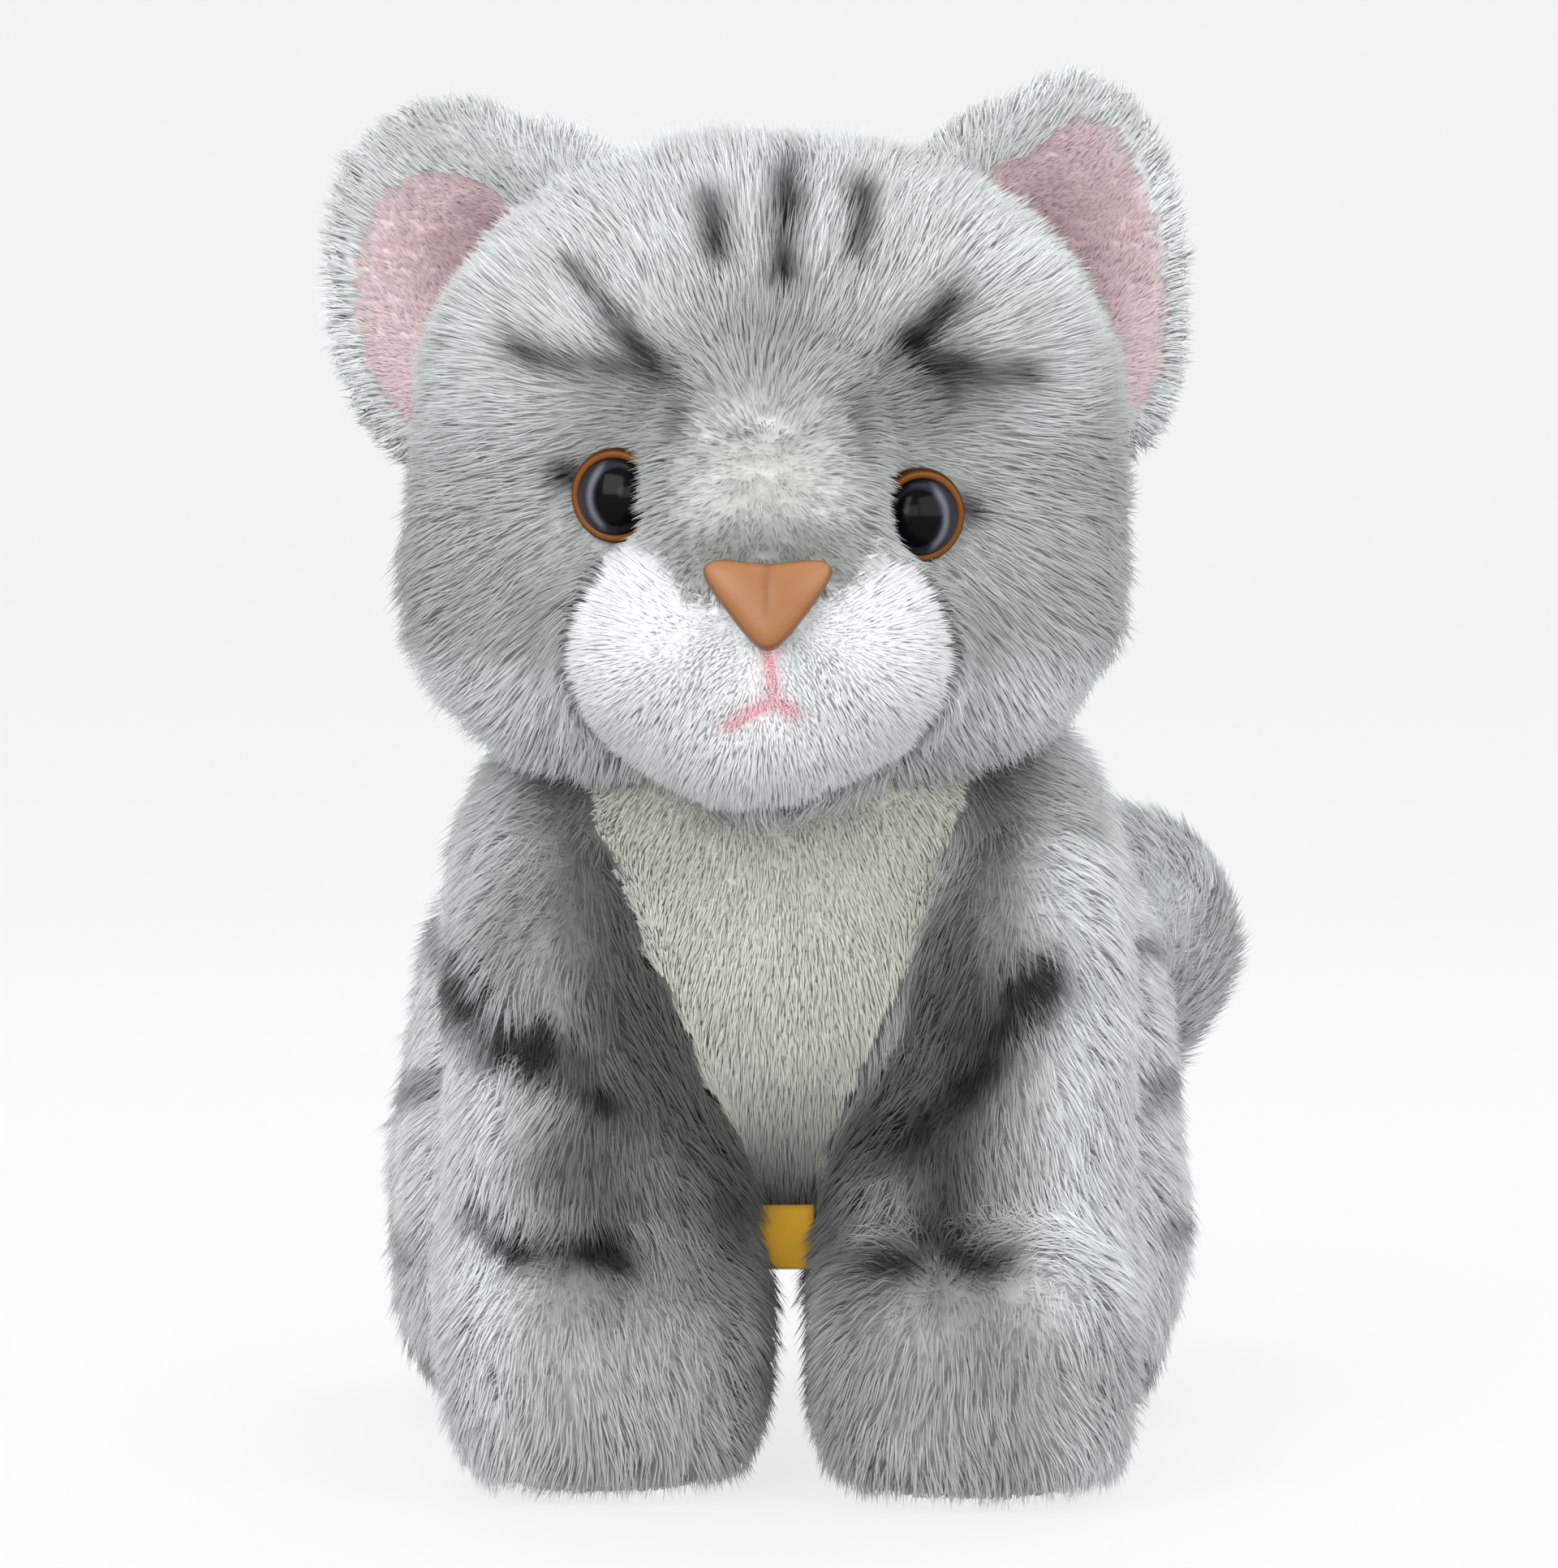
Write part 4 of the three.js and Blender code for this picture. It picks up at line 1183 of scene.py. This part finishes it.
def make_eye(side, around=96):
    """A moulded eye: an amber collar round a polished dome, dark but for a dark grey iris round the pupil and
    a painted highlight, a pale grey crescent, on its outer side.
    """
    middle, outward, across, up = eye_frame(side)
    turns = np.linspace(0, 0.5 * math.pi, 26)[1:-1]
    dome = [(DOME_RADIUS * math.cos(t), 0.1 + DOME_RISE * math.sin(t)) for t in turns]
    profile = EYE_BACK + EYE_COLLAR + dome
    angle = np.linspace(0, 2 * math.pi, around, endpoint=False)
    points, colours = [], []
    out = SIDES[side]
    for r, h in profile:
        x, z = r * np.cos(angle), r * np.sin(angle)
        points.append(middle + np.outer(x, across) + np.outer(z, up) + outward * (h + EYE_LIFT))
        to_pupil = np.hypot(x + 1.3 * out, 0.8 * z)
        shade = mix(BLACK, IRIS, ease(to_pupil, 3.1, 3.4) * ease(5.1 - r, -0.1, 0.5))
        # Painted highlight: a pale grey crescent on the dome's outer side, standing in for a reflection.
        painted_highlight = np.exp(-(((to_pupil - 3.9) / 0.5) ** 2)) * ease(x * out, 0.2, 1.6) * (r < 5)
        shade = mix(shade, GLINT, 0.9 * painted_highlight)
        shade = mix(shade, AMBER, np.full(around, 1.0 if r > 5.3 else 0.0))
        colours.append(mix(shade, RIM, np.full(around, 1.0 if r > 6 else 0.0)))
    points += [[middle + outward * -2.3], [middle + outward * 4.7]]
    points = np.vstack(points)
    colours = np.vstack(colours + [[BLACK], [BLACK]])
    made = add_mesh(f"eye_{side}_moulded", points, ring_faces(len(profile), around), EYE_MATERIAL, colours)
    stand_in(made, "head", f"eye_{side}")


EYE_MATERIAL = glossy_material("eye plastic", 0.14, 0.08)
NOSE_MATERIAL = glossy_material("nose plastic", 0.42, 0.25)


# ---------------------------------------------------------------- nose and mouth
NOSE_TILT = math.radians(16)
TAN = srgb(118, 76, 42)
# The lighter tan is a painted sheen and the deeper tan a painted shade.
PAINTED_SHEEN_TAN = srgb(138, 98, 66)
PAINTED_SHADE_TAN = srgb(88, 52, 26)


def make_nose():
    """A plump moulded triangle with a dipped top edge and a faint crease down its middle."""
    outline = nose_outline()
    outward = np.array([0, -math.cos(NOSE_TILT), math.sin(NOSE_TILT)])
    up = np.array([0, math.sin(NOSE_TILT), math.cos(NOSE_TILT)])
    across = np.array([1.0, 0, 0])
    centre = NOSE + outward * -2.0 + [0, 0, 1.4]
    pivot = np.array([0, 1.2])
    inwards = np.linspace(0.97, 0.05, 22)
    shares = np.concatenate([[0.86, 1.0], inwards])
    lifts = np.concatenate([[-3.6, -0.9], 1.9 * (1 - inwards**3.2) ** 0.55])
    points, colours = [], []
    for share, lift in zip(shares, lifts):
        flat = pivot + (outline - pivot) * share
        crease = np.exp(-((flat[:, 0] / 0.55) ** 2)) * ease(flat[:, 1], -3.2, 0) * (lift > 0)
        raised = centre + np.outer(lift - 0.12 * crease, outward)
        points.append(raised + np.outer(flat[:, 0], across) + np.outer(flat[:, 1], up))
        # Painted sheen: the nose's upper part is lighter. Painted shade: its middle crease and its rim, where
        # it sinks into the fur, are darker.
        colour = mix(TAN, PAINTED_SHEEN_TAN, 0.5 * ease(flat[:, 1], -1, 5) * ease(share, 0.2, 0.8))
        colours.append(mix(colour, PAINTED_SHADE_TAN, 0.35 * crease + 0.5 * (share > 0.96)))
    pivot_place = centre + up * pivot[1]
    points = np.vstack(points + [pivot_place - 3.4 * outward, pivot_place + 1.8 * outward])
    colours = np.vstack(colours + [[PAINTED_SHADE_TAN], [TAN]])
    made = add_mesh("nose_moulded", points, ring_faces(len(shares), len(outline)), NOSE_MATERIAL, colours)
    stand_in(made, "head", "nose")


def on_skin(x, z, lift):
    """The point in front of the head's skin at x, z, standing off it by lift."""
    near, far = np.full(len(x), HEAD[1] - 80.0), np.full(len(x), HEAD[1] - 20.0)
    y = bisect(near, far, lambda at: head.distance(np.stack([x, at, z], axis=1)) > lift)
    return np.stack([x, y, z], axis=1)


STITCH_PITCH = 0.42
STITCH_RADIUS = 0.16
STITCH_LIFT = 0.55
THREAD = srgb(204, 138, 152)


def add_stitch(points, faces, centre, around=8):
    """One plump thread along centre, thin at its ends, added to a mesh's points and faces."""
    rings = len(centre)
    forward = unit(np.gradient(centre, axis=0))
    across = unit(np.cross(forward, [0, 1.0, 0]))
    upward = np.cross(forward, across)
    thick = STITCH_RADIUS * np.sqrt(1 - np.linspace(-0.93, 0.93, rings) ** 2) + 0.03
    start = len(points)
    points.extend(np.vstack(rings_along(centre, across, upward, thick, around)))
    points.extend([centre[0] - forward[0] * 0.05, centre[-1] + forward[-1] * 0.05])
    faces.extend([tuple(start + i for i in face) for face in ring_faces(rings, around)])


def make_mouth():
    """Satin stitches side by side along the mouth's lines, each lying across its line."""
    points, faces, colours = [], [], []
    half_stitch = np.linspace(-0.5, 0.5, 7)
    for line in mouth_lines():
        path = smooth_path(line, 60)
        steps = np.concatenate([[0], np.cumsum(np.linalg.norm(np.diff(path, axis=0), axis=1))])

        def place(at):
            return np.array([np.interp(at, steps, path[:, k]) for k in range(2)])

        for at in np.arange(0, steps[-1], STITCH_PITCH):
            x, z = place(at)
            along = unit(place(at + 0.1) - place(at - 0.1))
            slant = unit(np.array([-along[1], along[0]]) + 0.55 * along)
            centre = on_skin(x + slant[0] * half_stitch, z + slant[1] * half_stitch, STITCH_LIFT)
            add_stitch(points, faces, centre)
            shade = 0.9 + 0.2 * ((at * 7.3) % 1)
            colours.extend([THREAD * shade] * (len(points) - len(colours)))
    made = add_mesh("mouth_stitches", points, faces, THREAD_MATERIAL, np.array(colours))
    stand_in(made, "head", "mouth_thread")


THREAD_MATERIAL = tinted_material("embroidery thread", 0.7, 0.3, 1500, 0.15)


# ---------------------------------------------------------------- tag
TAG_ROWS = 40
TAG_COLUMNS = 24
TAG_HALF_GAP = 0.45
TAG_HALF_THICK = 0.16
TAG_TUCK = 1.2  # how much of the tag's top is hidden in its seam
TAG_BOW = 1.1
GOLD = srgb(156, 119, 16)
GOLD_EDGE = srgb(122, 88, 9)


def make_tag():
    """A blank woven tag, folded double at its lower edge and bowed a little forwards."""
    low, high = cad_box("care_label")
    top = high[2] - TAG_TUCK
    drop = top - low[2]
    share = np.linspace(-1, 1, TAG_ROWS)
    down = drop * (1 - np.abs(share) ** 1.6) ** 0.8
    bow = TAG_BOW * np.sin(np.pi * down / drop / 2)
    y = low[1] + 1.0 - bow + np.sign(share) * TAG_HALF_GAP * np.abs(share) ** 0.5
    x = np.linspace(low[0], high[0], TAG_COLUMNS)
    line = np.stack([y, top - down], axis=1)
    tangent = unit(np.gradient(line, axis=0))
    side = np.stack([-tangent[:, 1], tangent[:, 0]], axis=1)
    hem = np.exp(-(((x - low[0]) / 0.7) ** 2)) + np.exp(-(((x - high[0]) / 0.7) ** 2))
    row_colours = mix(np.tile(GOLD, (TAG_COLUMNS, 1)), GOLD_EDGE, 0.8 * hem)
    points = []
    for face in (1, -1):
        for k in range(TAG_ROWS):
            ripple = 0.25 * np.sin(x * 0.55 + 0.8) * math.sin(math.pi * abs(share[k]))
            at = line[k] + face * TAG_HALF_THICK * side[k]
            points.append(np.stack([x, at[0] + ripple, np.full(TAG_COLUMNS, at[1])], axis=1))
    colours = np.tile(row_colours, (len(points), 1))
    made = add_mesh("tag_cloth", np.vstack(points), sheet_faces(TAG_ROWS, TAG_COLUMNS), TAG_MATERIAL, colours)
    stand_in(made, "label", "care_label")


def sheet_faces(rows, columns):
    """Faces of a thin closed sheet whose first rows * columns points are one side and the rest the other."""
    faces = []
    other = rows * columns
    for r in range(rows - 1):
        for c in range(columns - 1):
            a, b = r * columns + c, r * columns + c + 1
            faces.append((a, b, b + columns, a + columns))
            faces.append((other + a, other + a + columns, other + b + columns, other + b))
    for r in range(rows - 1):
        for c in (0, columns - 1):
            a, b = r * columns + c, (r + 1) * columns + c
            rim = (a, b, other + b, other + a)
            faces.append(rim if c == 0 else rim[::-1])
    for c in range(columns - 1):
        for r in (0, rows - 1):
            a, b = r * columns + c, r * columns + c + 1
            rim = (a, other + a, other + b, b)
            faces.append(rim if r == 0 else rim[::-1])
    return faces


TAG_MATERIAL = tinted_material("woven tag", 0.75, 0.1, 2200, 0.12)


# ---------------------------------------------------------------- stage, camera and light
def softbox(name, place, size, watts, aim=(0, -0.05, 0.1)):
    data = bpy.data.lights.new(name, "AREA")
    data.size = size
    data.energy = watts
    made = bpy.data.objects.new(name, data)
    made.location = place
    made.rotation_euler = (Vector(aim) - Vector(place)).to_track_quat("-Z", "Y").to_euler()
    bpy.context.scene.collection.objects.link(made)


def make_stage(rings=24, around=96, inner=1.6, curve=1.2):
    """A pale floor, in metres, that sweeps up behind into a backdrop all round, so that no edge shows."""
    turn = np.linspace(0, 2 * math.pi, around, endpoint=False)
    points = []
    for k in range(rings):
        angle = 0.5 * math.pi * k / (rings - 1)
        reach, height = inner + curve * math.sin(angle), curve * (1 - math.cos(angle))
        points.append(np.stack([np.cos(turn) * reach, np.sin(turn) * reach, np.full(around, height)], axis=1))
    points.append(points[-1] + [0, 0, 2.0])
    points = np.vstack(points + [np.zeros((1, 3))])
    faces = []
    for ring in range(rings):
        for k in range(around):
            a, b = ring * around + k, ring * around + (k + 1) % around
            faces.append((a, a + around, b + around, b))
    hub = len(points) - 1
    faces += [(hub, k, (k + 1) % around) for k in range(around)]
    material, _, _, surface = new_material("studio floor", 0.9)
    surface.inputs["Base Color"].default_value = (0.08, 0.08, 0.08, 1)
    surface.inputs["Emission Color"].default_value = (1, 1, 1, 1)
    surface.inputs["Emission Strength"].default_value = 0.79
    made = add_mesh("studio_floor", points / MM, faces, material, np.ones((len(points), 3)))


def make_camera():
    """A long lens at the face, a little above it, looking along +Y."""
    target = HEAD + [1.5, -HEAD_RADII[1] - 10, -42]
    data = bpy.data.cameras.new("camera")
    data.sensor_width = 36
    data.lens = data.sensor_width * LENS_DISTANCE / VIEW_HEIGHT
    made = bpy.data.objects.new("camera", data)
    back = np.array([0, -math.cos(LENS_RISE), math.sin(LENS_RISE)])
    made.location = (target + back * LENS_DISTANCE) * MM
    made.rotation_euler = (math.pi / 2 - LENS_RISE, 0, 0)
    bpy.context.scene.collection.objects.link(made)
    bpy.context.scene.camera = made


def make_light():
    """Even light from all round, and four soft boxes, placed in metres."""
    world = bpy.data.worlds.new("studio")
    world.use_nodes = True
    world.node_tree.nodes["Background"].inputs["Color"].default_value = (0.96, 0.98, 1.0, 1)
    world.node_tree.nodes["Background"].inputs["Strength"].default_value = 1.0
    bpy.context.scene.world = world
    bpy.context.scene.view_settings.view_transform = "Standard"
    softbox("key", (-0.55, -1.15, 0.6), 1.0, 20)
    softbox("fill", (0.9, -1.0, 0.35), 1.2, 16)
    softbox("low", (0.0, -1.4, 0.12), 0.8, 8)
    softbox("top", (0.1, 0.3, 1.2), 1.0, 8)


# ---------------------------------------------------------------- the whole scene
make_skins()
dress_inner_pieces()
grow_head()
grow_body()
grow_tail()
grow_ear("left", 150)
grow_ear("right", 160)
for which in SIDES:
    make_eye(which)
make_nose()
make_mouth()
make_tag()
make_stage()
make_camera()
make_light()
